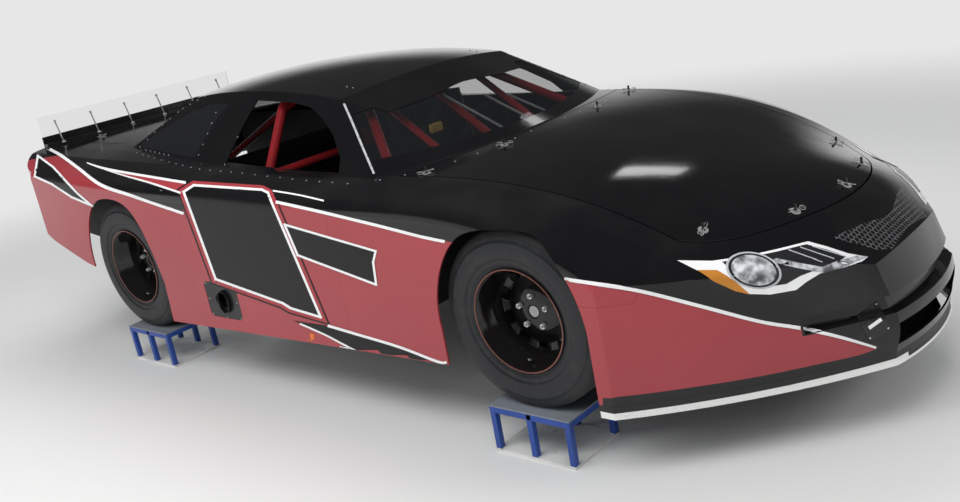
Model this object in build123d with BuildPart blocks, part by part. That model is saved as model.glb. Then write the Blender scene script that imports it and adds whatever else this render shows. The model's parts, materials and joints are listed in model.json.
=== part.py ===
"""Short-track stock car on four wheel stands, +X forward, +Y left, +Z up, origin on the floor under the middle."""

import math
import os

from build123d import *

os.makedirs("parts", exist_ok=True)

# driving dimensions, millimetres
WHEELBASE = 2620
FRONT_OVERHANG = 1150
REAR_OVERHANG = 1200
BODY_HALF_WIDTH = 1000
SKIN = 8
SEAM = 0.6
LIFT_GAP = 6
SEAT_GAP = 0.3
PIVOT_GAP = 0.3
STAND_HEIGHT = 196
STAND_LENGTH = 376
STAND_WIDTH = 290
STAND_TUBE = 25
STAND_PLATE = 6
TYRE_RADIUS = 350
TYRE_WIDTH = 280
TYRE_OUTER_Y = 970
TYRE_WALL = 14
RIM_WIDTH = 268
BEAD_RADIUS = 192
LIP_RADIUS = 205
RIM_WALL = 7
DISC_WALL = 8
DISC_INSET = 108
HUB_RADIUS = 62
HUB_LENGTH = 120
LUG_CIRCLE = 127
LUG_RADIUS = 10
HAND_HOLES = 10
SPINDLE_RADIUS = 22
AXLE_TUBE_RADIUS = 40
KINGPIN_Y = 655
KINGPIN_RADIUS = 12
BALL_HEIGHT = 135
RAIL_Y = 430
RAIL_WIDTH = 50
RAIL_HEIGHT = 100
RAIL_LOW = 110
CAGE_RADIUS = 22
ARM_RADIUS = 13
PLATE = 4
GLASS = 5
ROCKER_HEIGHT = 115
BELT_HEIGHT = 800
SPOILER_HEIGHT = 165
SPOILER_LENGTH = 1400

# seams and openings, x from the rear axle, heights above the tread
DOOR_FRONT = 1720
DOOR_REAR = 600
NOSE_SEAM = ((3250, 1300), (3176, 606), (3104, 460), (2700, 460), (2700, -200), (4200, -200), (4200, 1300))
NOSE_LIP = 98
RECESS_LOW = 246
RECESS_HIGH = 306
RECESS_HALF = 560
RECESS_DEPTH = 46
SLOT_LOW = 128
SLOT_HIGH = 208
SLOT_HALF = 300
HOOD_REAR = (1995, 790)
HOOD_REAR_TIP = 2105
HOOD_FRONT = (3150, 684)
HOOD_TIP = 3490
COWL_Y = 800
DECK_Y = 660
LID_Y = 540
LID_FRONT = -560
LID_REAR = -1010
TAIL_DEPTH = 75
TAIL_HALF = 800
TAIL_TOP = 860
ROCKER_LINE = ((-340, 76), (2700, 153))
FRONT_ARCH = ((-350, -200), (-354, 300), (-300, 545), (-170, 680), (0, 708), (160, 680), (270, 560), (332, 340), (346, -200))
REAR_ARCH = ((-372, -200), (-374, 300), (-310, 570), (-170, 706), (0, 738), (160, 700), (275, 530), (335, 300), (300, -200))
TAIL_RISE = ((-1400, 545), (-1000, 535), (-830, 452), (-467, 349), (-340, 325))

# greenhouse outline at the belt level and at a level above the roof, x from the rear axle
# front middle x, front corner x and y, side middle x and y, rear corner x and y, rear middle x
BELT_PLAN = (2186, 1914, 855, 750, 800, -598, 643, -700)
CROWN_PLAN = (1352, 1293, 467, 850, 500, 400, 427, 277)
CROWN_HEIGHT = 1224
ROOF_ARC = ((1500, 1149), (850, 1207), (150, 1165))
ROOF_CROSS_RADIUS = 3690
POST_MARGIN = 30
SHIELD_LOW = (1790, 765, 2030)
SHIELD_HIGH = (1505, 545, 1548)
BACKLIGHT_LOW = (-350, 552, -388)
BACKLIGHT_HIGH = (150, 425, 110)
SIDE_WINDOW = ((745, 850), (1655, 800), (1612, 900), (1505, 985), (1385, 1050), (1285, 1090), (1150, 1112), (865, 1128), (800, 1010))
QUARTER_WINDOW = ((-300, 915), (430, 880), (480, 970), (545, 1060), (610, 1120), (450, 1118), (220, 1085), (-60, 1000))

OUTLET_X = 822
OUTLET_HEIGHT = 258
OUTLET_LENGTH = 256
OUTLET_DEPTH = 180
OUTLET_CORNER = 30
GLASS_INSET = 2
HOOD_PINS = ((3190, 583), (3398, 308), (2090, 748), (2170, 350))
HOOD_TIP_PIN = 3457
LID_PIN_X = -960
LID_PIN_Y = 430
PIN_RADIUS = 5
PIN_GAP = 2
PIN_POST_RADIUS = 12
PIN_STAND = 34

# interior and running gear, x from the rear axle, heights above the tread
RISER_X = 380
RAIL_FRONT = 3260
KICK_HEIGHT = 430
KICK_REAR = -1050
CROSS_PLACES = (600, 1750, 2850, 3210)
HORN_X = 3235
BEAM_END = 40
BEAM_RADIUS = 23
POST_SINK = 10
MOUNT_HALF = 40
MOUNT_RISE = 30
CROSS_RISE = 20
FRONT_BEAM = 480
COWL_BEAM_X = 2000
COWL_BEAM = 700
LID_BEAM = 700
ENGINE_X = 2300
ENGINE_WIDTH = 520
FLOOR_HEIGHT = 214
FIREWALL_X = 1900
BULKHEAD_X = 430
HOOP_X = 980
DRIVER_Y = 300

CAGE_FRONT_X = 1440
CAGE_FOOT_X = 1840
CAGE_ROOF = 1108
CAGE_FRONT_HEIGHT = 1060
CAGE_COWL = 770
CAGE_ROOF_Y = 500
CAGE_FRONT_Y = 400
CAGE_BEND = 90
BRACE_RADIUS = 19
CAGE_SILL = 790
CAGE_SILL_Y = 690
CAGE_COWL_Y = 690
CAGE_FOOT_Y = 720
CAGE_STAY = 520
STAY_X = -330
DOOR_BARS = (420, 600)
BRACE_Y = 330
BULKHEAD_TOP = 820
SEAT_PROFILE = ((1080, 218.3), (1610, 218.3), (1640, 370), (1400, 380), (1250, 560), (1160, 950), (1020, 950), (1050, 400))
SEAT_HOLLOW = ((1110, 250), (1605, 250), (1660, 450), (1300, 1000), (1060, 1000))
SEAT_WIDTH = 480
SEAT_BOLSTER = 35
DASH_X = 1700
DASH_HALF = 640
DASH_LOW = 560
DASH_HIGH = 720
WHEEL_X = 1500
WHEEL_HEIGHT = 720
WHEEL_RADIUS = 180
GRIP_RADIUS = 14
COLUMN_SLOPE = 0.25
COLUMN_LENGTH = 300
COLUMN_RADIUS = 18
ENGINE_LENGTH = 640
ENGINE_LOW = 130
ENGINE_HIGH = 620
CELL_REAR = -960
CELL_FRONT = -420
CELL_LOW = 300
CELL_HIGH = 480
SPOILER_X = -1180
SPOILER_FOOT = 952
SPOILER_FLANGE = 45
PIPE_HALF_LENGTH = 62
PIPE_HALF_HEIGHT = 40
PIPE_WALL = 3
PIPE_LENGTH = 260
HOUSING_RADIUS = 130
LINK_Y = 520
LINK_HEIGHT = 200
EYE_RADIUS = 25
EYE_HALF = 14
ARM_SPREAD = 150
ARM_POST = 34
STAND_OUTER_Y = 995

# places worked out from them
LENGTH = FRONT_OVERHANG + WHEELBASE + REAR_OVERHANG
REAR_AXLE_X = REAR_OVERHANG - LENGTH / 2
FRONT_AXLE_X = REAR_AXLE_X + WHEELBASE
TREAD_Z = STAND_HEIGHT + SEAT_GAP
AXLE_Z = TREAD_Z + TYRE_RADIUS
TYRE_Y = TYRE_OUTER_Y - TYRE_WIDTH / 2
TAIL_X = -LENGTH / 2
TALL = 2000
WIDE = 3000
FRONT_END = 4500
REAR_END = -2000
LOW_END = -400
HIGH_END = 1400
BELOW_TOP = 700
ABOVE_TOP = 1200
NOSE_FRONT = 3300

# block that the roof's crown is turned from
CROWN_X = 700
CROWN_LENGTH = 4200
CROWN_DEPTH = 1000
CROWN_BELOW = 100
CROWN_SWING = 50
SIDES = {"right": -1, "left": 1}
AXLES = {"front": FRONT_AXLE_X, "rear": REAR_AXLE_X}

# plan outline of the nose at each height above the tread, x from the front axle
NOSE_PLAN = (
    # height, tip x, cheek x, cheek y, flank x, flank y, heel x
    (50, 1141, 1096, 300, 762, 690, 395),
    (140, 1145, 1103, 300, 766, 690, 395),
    (230, 1145, 1105, 300, 767, 690, 395),
    (320, 1114, 1076, 300, 760, 690, 392),
    (410, 1076, 1042, 300, 748, 690, 388),
    (500, 1039, 1004, 300, 730, 690, 384),
    (590, 999, 964, 300, 710, 690, 380),
)

# cross-section of the body at each station, x from the rear axle, heights above the tread
TOP_STATIONS = (
    # x, middle, shoulder, crease, half width
    (-1300, 950, 934, 892, 930),
    (-1000, 940, 922, 876, 955),
    (-620, 926, 906, 856, 980),
    (0, 908, 882, 828, 1000),
    (985, 872, 852, 808, 1000),
    (1750, 856, 838, 790, 1000),
    (2620, 806, 776, 736, 1000),
    (2950, 736, 672, 606, 1000),
    (3150, 684, 566, 462, 1000),
    (3300, 648, 472, 352, 1000),
    (3450, 600, 386, 252, 1000),
    (3560, 530, 300, 166, 1000),
    (3660, 446, 206, 80, 1000),
    (3900, 210, -30, -150, 1000),
)
SHOULDER_Y = 800
CREASE_INSET = 45
SIDE_DROP = 75
TAIL_FLAT = 620
TAIL_CORNER = (70, 810)
TAIL_HEEL = (300, 945)
BELLY = -250


def up(height):
    """Height above the floor of a height above the tread."""
    return TREAD_Z + height


def plan_face(row, inset):
    """One level of the body's plan outline, drawn round from the tail."""
    height, tip, cheek_x, cheek_y, flank_x, flank_y, heel = row
    out = BODY_HALF_WIDTH + 100
    tail = TAIL_X + inset
    corner = (TAIL_X + TAIL_CORNER[0] + 0.7 * inset, TAIL_CORNER[1] - 0.7 * inset)
    rump = (TAIL_X + TAIL_HEEL[0] + 0.3 * inset, TAIL_HEEL[1] - 0.95 * inset)
    tip_at = (FRONT_AXLE_X + tip - inset, 0)
    cheek = (FRONT_AXLE_X + cheek_x - 0.8 * inset, cheek_y - 0.6 * inset)
    flank = (FRONT_AXLE_X + flank_x - 0.6 * inset, flank_y - 0.8 * inset)
    heel_at = (FRONT_AXLE_X + heel - 0.4 * inset, BODY_HALF_WIDTH - 0.9 * inset)
    with BuildSketch(Plane.XY.offset(up(height))) as face:
        with BuildLine():
            Line((tail, -TAIL_FLAT), (tail, TAIL_FLAT))
            ThreePointArc((tail, TAIL_FLAT), corner, rump)
            Line(rump, (rump[0] + 20, out))
            Line((rump[0] + 20, out), (heel_at[0] - 40, out))
            Line((heel_at[0] - 40, out), heel_at)
            ThreePointArc(heel_at, flank, cheek)
            ThreePointArc(cheek, tip_at, (cheek[0], -cheek[1]))
            ThreePointArc((cheek[0], -cheek[1]), (flank[0], -flank[1]), (heel_at[0], -heel_at[1]))
            Line((heel_at[0], -heel_at[1]), (heel_at[0] - 40, -out))
            Line((heel_at[0] - 40, -out), (rump[0] + 20, -out))
            Line((rump[0] + 20, -out), (rump[0], -rump[1]))
            ThreePointArc((rump[0], -rump[1]), (corner[0], -corner[1]), (tail, -TAIL_FLAT))
        make_face()
    return face.sketch


def top_face(row, inset):
    """One cross-section of the body, drawn round from its bottom."""
    x, middle, shoulder, crease, half = row
    half = half - inset
    sh_y, cr_y = SHOULDER_Y - 0.3 * inset, half - CREASE_INSET
    sh_z, cr_z = up(shoulder - inset), up(crease - inset)
    side_z = cr_z - SIDE_DROP
    low = up(BELLY) - inset
    with BuildSketch(Plane.YZ.offset(REAR_AXLE_X + x)) as face:
        with BuildLine():
            Line((-half, low), (half, low))
            Line((half, low), (half, side_z))
            ThreePointArc((half, side_z), (half - 0.28 * CREASE_INSET, cr_z - 0.3 * SIDE_DROP), (cr_y, cr_z))
            ThreePointArc((cr_y, cr_z), ((cr_y + sh_y) / 2, (cr_z + sh_z) / 2 + 5), (sh_y, sh_z))
            ThreePointArc((sh_y, sh_z), (0, up(middle - inset)), (-sh_y, sh_z))
            ThreePointArc((-sh_y, sh_z), (-(cr_y + sh_y) / 2, (cr_z + sh_z) / 2 + 5), (-cr_y, cr_z))
            ThreePointArc((-cr_y, cr_z), (0.28 * CREASE_INSET - half, cr_z - 0.3 * SIDE_DROP), (-half, side_z))
            Line((-half, side_z), (-half, low))
        make_face()
    return face.sketch


def body_solid(inset):
    """The body's outer form, or the same form drawn in by an inset."""
    with BuildPart() as plan:
        for row in NOSE_PLAN:
            add(plan_face(row, inset))
        loft()
        extrude(plan_face(NOSE_PLAN[-1], inset), amount=TALL)
    with BuildPart() as form:
        for row in TOP_STATIONS:
            add(top_face(row, inset))
        loft()
        add(plan.part, mode=Mode.INTERSECT)
    return form.part


def at(x):
    """Place along the car of a distance ahead of the rear axle."""
    return REAR_AXLE_X + x


def keep(part, name):
    """Label a finished piece and write it."""
    part.label = name
    export_step(part, f"parts/{name}.step")
    print(name, len(part.solids()), round(part.volume / 1e6, 2))
    return part


def side_prism(points):
    """A solid across the whole car with an outline seen from the side, x from the rear axle."""
    with BuildPart() as prism:
        with BuildSketch(Plane.XZ):
            with BuildLine():
                Polyline(*[(at(x), up(h)) for x, h in points], close=True)
            make_face()
        extrude(amount=WIDE, both=True)
    return prism.part


def bar(start, end, radius):
    """A straight round bar between two points."""
    start, end = Vector(*start), Vector(*end)
    with BuildPart() as rod:
        with BuildSketch(Plane(origin=start, z_dir=end - start)):
            Circle(radius)
        extrude(amount=(end - start).length)
    return rod.part


def bent_tube(points, bend, radius):
    """A round tube along straight runs with a bend at each corner."""
    with BuildPart() as tube:
        with BuildLine() as path:
            FilletPolyline(*points, radius=bend)
        with BuildSketch(Plane(origin=path.line @ 0, z_dir=path.line % 0)):
            Circle(radius)
        sweep(path=path.line)
    return tube.part


def both_sides(runs):
    """The runs and their mirror images."""
    return list(runs) + [tuple((x, -y, z) for x, y, z in run) for run in runs]


def slab(x0, x1, y0, y1, h0, h1):
    """A block between two stations, two sides and two heights, x from the rear axle."""
    with BuildPart() as block:
        with Locations((at((x0 + x1) / 2), (y0 + y1) / 2, up((h0 + h1) / 2))):
            Box(x1 - x0, y1 - y0, h1 - h0)
    return block.part


def trimmed(piece, keep_in=(), take_out=()):
    """What is left of a piece inside some regions and outside others."""
    with BuildPart() as result:
        add(piece)
        for region in keep_in:
            add(region, mode=Mode.INTERSECT)
        for region in take_out:
            add(region, mode=Mode.SUBTRACT)
    return result.part


def plan_window(low, high, margin=0):
    """A tall prism over a window that is seen from above as two arcs and two straight sides."""
    (x0, y0, mid0), (x1, y1, mid1) = low, high
    with BuildPart() as prism:
        with BuildSketch(Plane.XY.offset(up(0))):
            with BuildLine():
                ThreePointArc((at(x0), -y0), (at(mid0), 0), (at(x0), y0))
                Line((at(x0), y0), (at(x1), y1))
                ThreePointArc((at(x1), y1), (at(mid1), 0), (at(x1), -y1))
                Line((at(x1), -y1), (at(x0), -y0))
            make_face()
            if margin:
                offset(amount=margin, kind=Kind.INTERSECTION)
        extrude(amount=TALL)
    return prism.part


def side_window(points, margin=0):
    """A prism across the car over a side window outline."""
    with BuildPart() as prism:
        with BuildSketch(Plane.XZ):
            with BuildLine():
                Polyline(*[(at(x), up(h)) for x, h in points], close=True)
            make_face()
            if margin:
                offset(amount=margin, kind=Kind.INTERSECTION)
        extrude(amount=WIDE, both=True)
    return prism.part


def arch_prism(axle, table):
    """The wheel opening of one axle, cut across the whole car."""
    places = [(AXLES[axle] + x, up(h)) for x, h in table]
    with BuildPart() as prism:
        with BuildSketch(Plane.XZ):
            with BuildLine():
                Spline(*places[1:-1])
                Polyline(places[-2], places[-1], places[0], places[1])
            make_face()
        extrude(amount=WIDE, both=True)
    return prism.part


def hood_prism(margin):
    """The hood's outline seen from above."""
    with BuildPart() as prism:
        with BuildSketch(Plane.XY.offset(up(0))):
            with BuildLine():
                rear, front = (at(HOOD_REAR[0]), HOOD_REAR[1]), (at(HOOD_FRONT[0]), HOOD_FRONT[1])
                ThreePointArc((rear[0], -rear[1]), (at(HOOD_REAR_TIP), 0), rear)
                Line(rear, front)
                ThreePointArc(front, (at(HOOD_TIP), 0), (front[0], -front[1]))
                Line((front[0], -front[1]), (rear[0], -rear[1]))
            make_face()
            if margin:
                offset(amount=margin)
        extrude(amount=TALL)
    return prism.part


def house_outline(row, height, inset):
    """The greenhouse outline at one level."""
    nose, corner_x, corner_y, side_x, side_y, rear_x, rear_y, back = row
    with BuildSketch(Plane.XY.offset(up(height))) as face:
        with BuildLine():
            ThreePointArc((at(corner_x), -corner_y), (at(nose), 0), (at(corner_x), corner_y))
            ThreePointArc((at(corner_x), corner_y), (at(side_x), side_y), (at(rear_x), rear_y))
            ThreePointArc((at(rear_x), rear_y), (at(back), 0), (at(rear_x), -rear_y))
            ThreePointArc((at(rear_x), -rear_y), (at(side_x), -side_y), (at(corner_x), -corner_y))
        make_face()
        if inset:
            offset(amount=-inset, kind=Kind.INTERSECTION)
    return face.sketch


def circle_through(a, b, c):
    """Centre and radius of the circle through three points."""
    edge = ThreePointArc(a, b, c)
    return edge.arc_center, edge.radius


def greenhouse(inset):
    """The greenhouse's outer form, or the same form drawn in by an inset."""
    crown_axis = Axis((0, 0, up(ROOF_ARC[1][1]) - ROOF_CROSS_RADIUS), (1, 0, 0))
    centre, radius = circle_through(*[(at(x), up(h)) for x, h in ROOF_ARC])
    with BuildPart() as crown:
        with BuildSketch(Plane.XZ):
            with Locations((centre.X, centre.Y)):
                Circle(radius - inset)
            with Locations((at(CROWN_X), up(BELT_HEIGHT + CROWN_DEPTH / 2 - CROWN_BELOW))):
                Rectangle(CROWN_LENGTH, CROWN_DEPTH, mode=Mode.INTERSECT)
        revolve(axis=crown_axis, revolution_arc=CROWN_SWING)
    with BuildPart() as form:
        add(house_outline(BELT_PLAN, BELT_HEIGHT, inset))
        add(house_outline(CROWN_PLAN, CROWN_HEIGHT, inset))
        loft(ruled=True)
        add(crown.part.rotate(crown_axis, -CROWN_SWING / 2), mode=Mode.INTERSECT)
    return form.part


def grooved(form, core, margin):
    """A form with the recess across the nose sunk to a core."""
    half = RECESS_HALF + margin
    band = slab(NOSE_FRONT, FRONT_END, -half, half, RECESS_LOW - margin, RECESS_HIGH + margin)
    return trimmed(form, take_out=(trimmed(band, take_out=(core,)),))


# the skin of the lower body, before it is parted
outer = grooved(body_solid(0), body_solid(RECESS_DEPTH), 0)
inner = grooved(body_solid(SKIN), body_solid(RECESS_DEPTH + SKIN), SKIN)
lining = grooved(body_solid(SKIN + SEAT_GAP), body_solid(RECESS_DEPTH + SKIN + SEAT_GAP), SKIN + SEAT_GAP)
house = greenhouse(0)
cockpit = greenhouse(POST_MARGIN)
rocker = side_prism([*ROCKER_LINE, (ROCKER_LINE[1][0], LOW_END), (ROCKER_LINE[0][0], LOW_END)])
tail_rise = side_prism([*TAIL_RISE, (TAIL_RISE[-1][0], LOW_END), (TAIL_RISE[0][0], LOW_END)])
shell = trimmed(
    outer,
    take_out=(inner, arch_prism("front", FRONT_ARCH), arch_prism("rear", REAR_ARCH), rocker, tail_rise, cockpit),
)


# lids that lift off, and the panels round them
nose_region = side_prism(NOSE_SEAM)
hood_gap = hood_prism(LIFT_GAP)
lid_region = slab(LID_REAR, LID_FRONT, -LID_Y, LID_Y, BELOW_TOP, ABOVE_TOP)
lid_half = LID_Y + LIFT_GAP
lid_gap = slab(LID_REAR - LIFT_GAP, LID_FRONT + LIFT_GAP, -lid_half, lid_half, BELOW_TOP, ABOVE_TOP)
cowl_end = HOOD_REAR_TIP + 2 * LIFT_GAP
cowl_region = slab(DOOR_FRONT + SEAM, cowl_end, -COWL_Y, COWL_Y, BELOW_TOP, ABOVE_TOP)
cowl_gap = slab(DOOR_FRONT, cowl_end, -COWL_Y - SEAM, COWL_Y + SEAM, BELOW_TOP, ABOVE_TOP)
deck_region = slab(REAR_END, DOOR_REAR - SEAM, -DECK_Y, DECK_Y, TAIL_TOP + SEAM, ABOVE_TOP)
deck_gap = slab(REAR_END, DOOR_REAR, -DECK_Y - SEAM, DECK_Y + SEAM, TAIL_TOP, ABOVE_TOP)
tail_front = TAIL_X - REAR_AXLE_X + TAIL_DEPTH
tail_side, tail_over = TAIL_HALF + SEAM, TAIL_TOP + SEAM
tail_region = slab(REAR_END, tail_front, -TAIL_HALF, TAIL_HALF, LOW_END, TAIL_TOP)
tail_gap = slab(REAR_END, tail_front + SEAM, -tail_side, tail_side, LOW_END, tail_over)

lip_region = slab(WHEELBASE, FRONT_END, -WIDE, WIDE, LOW_END, NOSE_LIP)
lip_gap = slab(WHEELBASE, FRONT_END, -WIDE, WIDE, LOW_END, NOSE_LIP + SEAM)
slot_region = slab(NOSE_FRONT, FRONT_END, -SLOT_HALF, SLOT_HALF, SLOT_LOW, SLOT_HIGH)
keep(trimmed(shell, keep_in=(nose_region,), take_out=(lip_gap, hood_gap, slot_region)), "nose")
keep(trimmed(shell, keep_in=(lip_region,)), "nose_lip")
keep(trimmed(shell, keep_in=(cowl_region,), take_out=(hood_gap,)), "cowl_panel")
keep(trimmed(shell, keep_in=(deck_region,), take_out=(lid_gap,)), "rear_deck")
keep(trimmed(shell, keep_in=(tail_region,)), "tail_cover")

with BuildPart() as outlet_cut:
    with BuildSketch(Plane.XZ):
        with Locations((at(OUTLET_X), up(OUTLET_HEIGHT))):
            RectangleRounded(OUTLET_LENGTH + 2 * SEAM, OUTLET_DEPTH + 2 * SEAM, OUTLET_CORNER)
    extrude(amount=WIDE)

for side, sign in SIDES.items():
    y0, y1 = sorted((0, sign * WIDE))
    fender = slab(DOOR_FRONT + SEAM, FRONT_END, y0, y1, LOW_END, HIGH_END)
    door = slab(DOOR_REAR + SEAM, DOOR_FRONT, y0, y1, LOW_END, HIGH_END)
    quarter = slab(REAR_END, DOOR_REAR, y0, y1, LOW_END, HIGH_END)
    outlet = (outlet_cut.part,) if side == "right" else ()
    keep(trimmed(shell, (fender,), (side_window(NOSE_SEAM, SEAM), hood_gap, cowl_gap)), f"fender_{side}")
    keep(trimmed(shell, (door,), outlet), f"door_{side}")
    keep(trimmed(shell, (quarter,), (deck_gap, tail_gap)), f"quarter_{side}")

# greenhouse: roof with its posts, and the windows
body_over = outer.moved(Location((0, 0, SEAT_GAP)))
house_shell = trimmed(house, take_out=(greenhouse(SKIN), body_over))
house_openings = (
    plan_window(SHIELD_LOW, SHIELD_HIGH),
    plan_window(BACKLIGHT_LOW, BACKLIGHT_HIGH),
    side_window(SIDE_WINDOW),
    side_window(QUARTER_WINDOW),
)
keep(trimmed(house_shell, take_out=house_openings), "roof")
glass = trimmed(greenhouse(GLASS_INSET), take_out=(greenhouse(GLASS_INSET + GLASS), body_over))
keep(trimmed(glass, (plan_window(SHIELD_LOW, SHIELD_HIGH, -SEAT_GAP),)), "windshield")
keep(trimmed(glass, (plan_window(BACKLIGHT_LOW, BACKLIGHT_HIGH, -SEAT_GAP),)), "rear_window")
for side, sign in SIDES.items():
    half = slab(REAR_END, FRONT_END, *sorted((0, sign * WIDE)), LOW_END, HIGH_END)
    keep(trimmed(glass, (side_window(QUARTER_WINDOW, -SEAT_GAP), half)), f"quarter_window_{side}")

# lids and the pins that hold them
pin_places = [(x, sign * y) for x, y in HOOD_PINS for sign in (1, -1)] + [(HOOD_TIP_PIN, 0)]
lid_pin_places = [(LID_PIN_X, sign * LID_PIN_Y) for sign in (1, -1)]
with BuildPart() as pin_holes:
    for x, y in pin_places + lid_pin_places:
        with BuildSketch(Plane.XY.offset(up(0))):
            with Locations((at(x), y)):
                Circle(PIN_RADIUS + PIN_GAP)
        extrude(amount=TALL)
keep(trimmed(shell, (hood_prism(0),), (pin_holes.part,)), "hood")
keep(trimmed(shell, (lid_region,), (pin_holes.part,)), "deck_lid")


def surface_height(x, y):
    """Height above the floor of the underside of the body skin at a place seen from above."""
    line = Edge.make_line((at(x), y, 0), (at(x), y, TALL))
    return max(v.Z for v in (inner & line).vertices())


def pin_post(x, y, foot):
    """A lid pin on its post, which carries the lid by its underside, standing on a foot height."""
    with BuildPart() as post:
        with BuildSketch(Plane.XY.offset(foot)):
            with Locations((at(x), y)):
                Circle(PIN_POST_RADIUS)
        extrude(amount=TALL)
        add(lining, mode=Mode.INTERSECT)
        with BuildSketch(Plane.XY.offset(foot)):
            with Locations((at(x), y)):
                Circle(PIN_RADIUS)
        extrude(amount=surface_height(x, y) + PIN_STAND - foot)
    return post.part


# chassis: rails, crossmembers, kick-up over the axle and the lid pins
front_beam, cowl_beam, lid_beam = up(FRONT_BEAM), up(COWL_BEAM), up(LID_BEAM)
with BuildPart() as chassis:
    for sign in (1, -1):
        y0, y1 = sorted((sign * (RAIL_Y - RAIL_WIDTH / 2), sign * (RAIL_Y + RAIL_WIDTH / 2)))
        add(slab(RISER_X, RAIL_FRONT, y0, y1, RAIL_LOW, RAIL_LOW + RAIL_HEIGHT))
        add(slab(RISER_X, RISER_X + RAIL_WIDTH, y0, y1, RAIL_LOW, KICK_HEIGHT + RAIL_WIDTH))
        add(slab(KICK_REAR, RISER_X + RAIL_WIDTH, y0, y1, KICK_HEIGHT, KICK_HEIGHT + RAIL_WIDTH))
        rail_y = sign * RAIL_Y
        for x, foot, beam in (
            (HORN_X, RAIL_LOW, front_beam),
            (COWL_BEAM_X, RAIL_LOW, cowl_beam),
            (LID_PIN_X, KICK_HEIGHT, lid_beam),
        ):
            add(bar((at(x), rail_y, up(foot + POST_SINK)), (at(x), rail_y, beam), CAGE_RADIUS))
        m0, m1 = sorted((sign * (ENGINE_WIDTH / 2 + SEAT_GAP), sign * RAIL_Y))
        add(slab(ENGINE_X - MOUNT_HALF, ENGINE_X + MOUNT_HALF, m0, m1, RAIL_LOW + MOUNT_RISE, RAIL_LOW + RAIL_HEIGHT))
    for x in CROSS_PLACES:
        rise = RAIL_LOW + CROSS_RISE
        add(slab(x, x + RAIL_WIDTH, -RAIL_Y, RAIL_Y, rise, rise + RAIL_WIDTH))
    add(slab(KICK_REAR, KICK_REAR + RAIL_WIDTH, -RAIL_Y, RAIL_Y, KICK_HEIGHT, KICK_HEIGHT + RAIL_WIDTH))
    for x, y, beam in (
        (HORN_X, HOOD_PINS[0][1], front_beam),
        (COWL_BEAM_X, HOOD_PINS[2][1], cowl_beam),
        (LID_PIN_X, RAIL_Y, lid_beam),
    ):
        add(bar((at(x), -y - BEAM_END, beam), (at(x), y + BEAM_END, beam), BEAM_RADIUS))
    for x, y in pin_places:
        beam_x, beam = (HORN_X, front_beam) if x > WHEELBASE else (COWL_BEAM_X, cowl_beam)
        reach = math.copysign(PIN_POST_RADIUS, x - beam_x)
        add(bar((at(beam_x), y, beam), (at(x) + reach, y, beam), PIN_POST_RADIUS - 1))
        add(pin_post(x, y, beam - PIN_POST_RADIUS))
    for x, y in lid_pin_places:
        add(pin_post(x, y, lid_beam))
keep(chassis.part, "chassis_frame")

# roll cage: main hoop, front bars, roof bars and rear stays
floor_z = up(FLOOR_HEIGHT + PLATE)
hoop_x, front_x, foot_x, stay_x = at(HOOP_X), at(CAGE_FRONT_X), at(CAGE_FOOT_X), at(STAY_X)
roof_z, front_z, cowl_z = up(CAGE_ROOF), up(CAGE_FRONT_HEIGHT), up(CAGE_COWL)
hoop_points = [
    (hoop_x, -CAGE_FOOT_Y, floor_z),
    (hoop_x, -CAGE_SILL_Y, up(CAGE_SILL)),
    (hoop_x, -CAGE_ROOF_Y, roof_z),
]
halo_points = [
    (foot_x, -CAGE_FOOT_Y, floor_z),
    (foot_x, -CAGE_COWL_Y, cowl_z),
    (front_x, -CAGE_FRONT_Y, front_z),
    (hoop_x, -CAGE_FRONT_Y, roof_z),
]
mirrored_hoop = [(x, -y, z) for x, y, z in reversed(hoop_points)]
thin_bars = both_sides((
    ((hoop_x, -CAGE_FRONT_Y, roof_z), (stay_x, -RAIL_Y, up(CAGE_STAY))),
    ((hoop_x, -CAGE_FOOT_Y, up(DOOR_BARS[0])), (foot_x, -CAGE_FOOT_Y, up(DOOR_BARS[0]))),
    ((hoop_x, -CAGE_FOOT_Y, up(DOOR_BARS[1])), (foot_x, -CAGE_FOOT_Y, up(DOOR_BARS[1]))),
    ((front_x, -BRACE_Y, front_z), (foot_x, -BRACE_Y, cowl_z)),
))
cross_bars = (
    ((front_x, -CAGE_FRONT_Y, front_z), (front_x, CAGE_FRONT_Y, front_z)),
    ((foot_x, -CAGE_COWL_Y, cowl_z), (foot_x, CAGE_COWL_Y, cowl_z)),
    ((hoop_x, -CAGE_SILL_Y, up(CAGE_SILL)), (hoop_x, CAGE_SILL_Y, up(CAGE_SILL))),
    ((hoop_x, -CAGE_FRONT_Y, roof_z), (hoop_x, CAGE_FOOT_Y, floor_z + CAGE_RADIUS)),
    ((front_x, 0, front_z), (foot_x, 0, cowl_z)),
)
halo = bent_tube(halo_points, CAGE_BEND, CAGE_RADIUS)
with BuildPart() as cage:
    add(bent_tube(hoop_points + mirrored_hoop, CAGE_BEND, CAGE_RADIUS))
    add([halo, mirror(halo, about=Plane.XZ)])
    add([bar(start, end, BRACE_RADIUS) for start, end in cross_bars])
    add([bar(start, end, BRACE_RADIUS - 2) for start, end in thin_bars])
    add(slab(0, FIREWALL_X, -WIDE, WIDE, 0, FLOOR_HEIGHT + PLATE + SEAT_GAP), mode=Mode.SUBTRACT)
keep(cage.part, "roll_cage")

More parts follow.
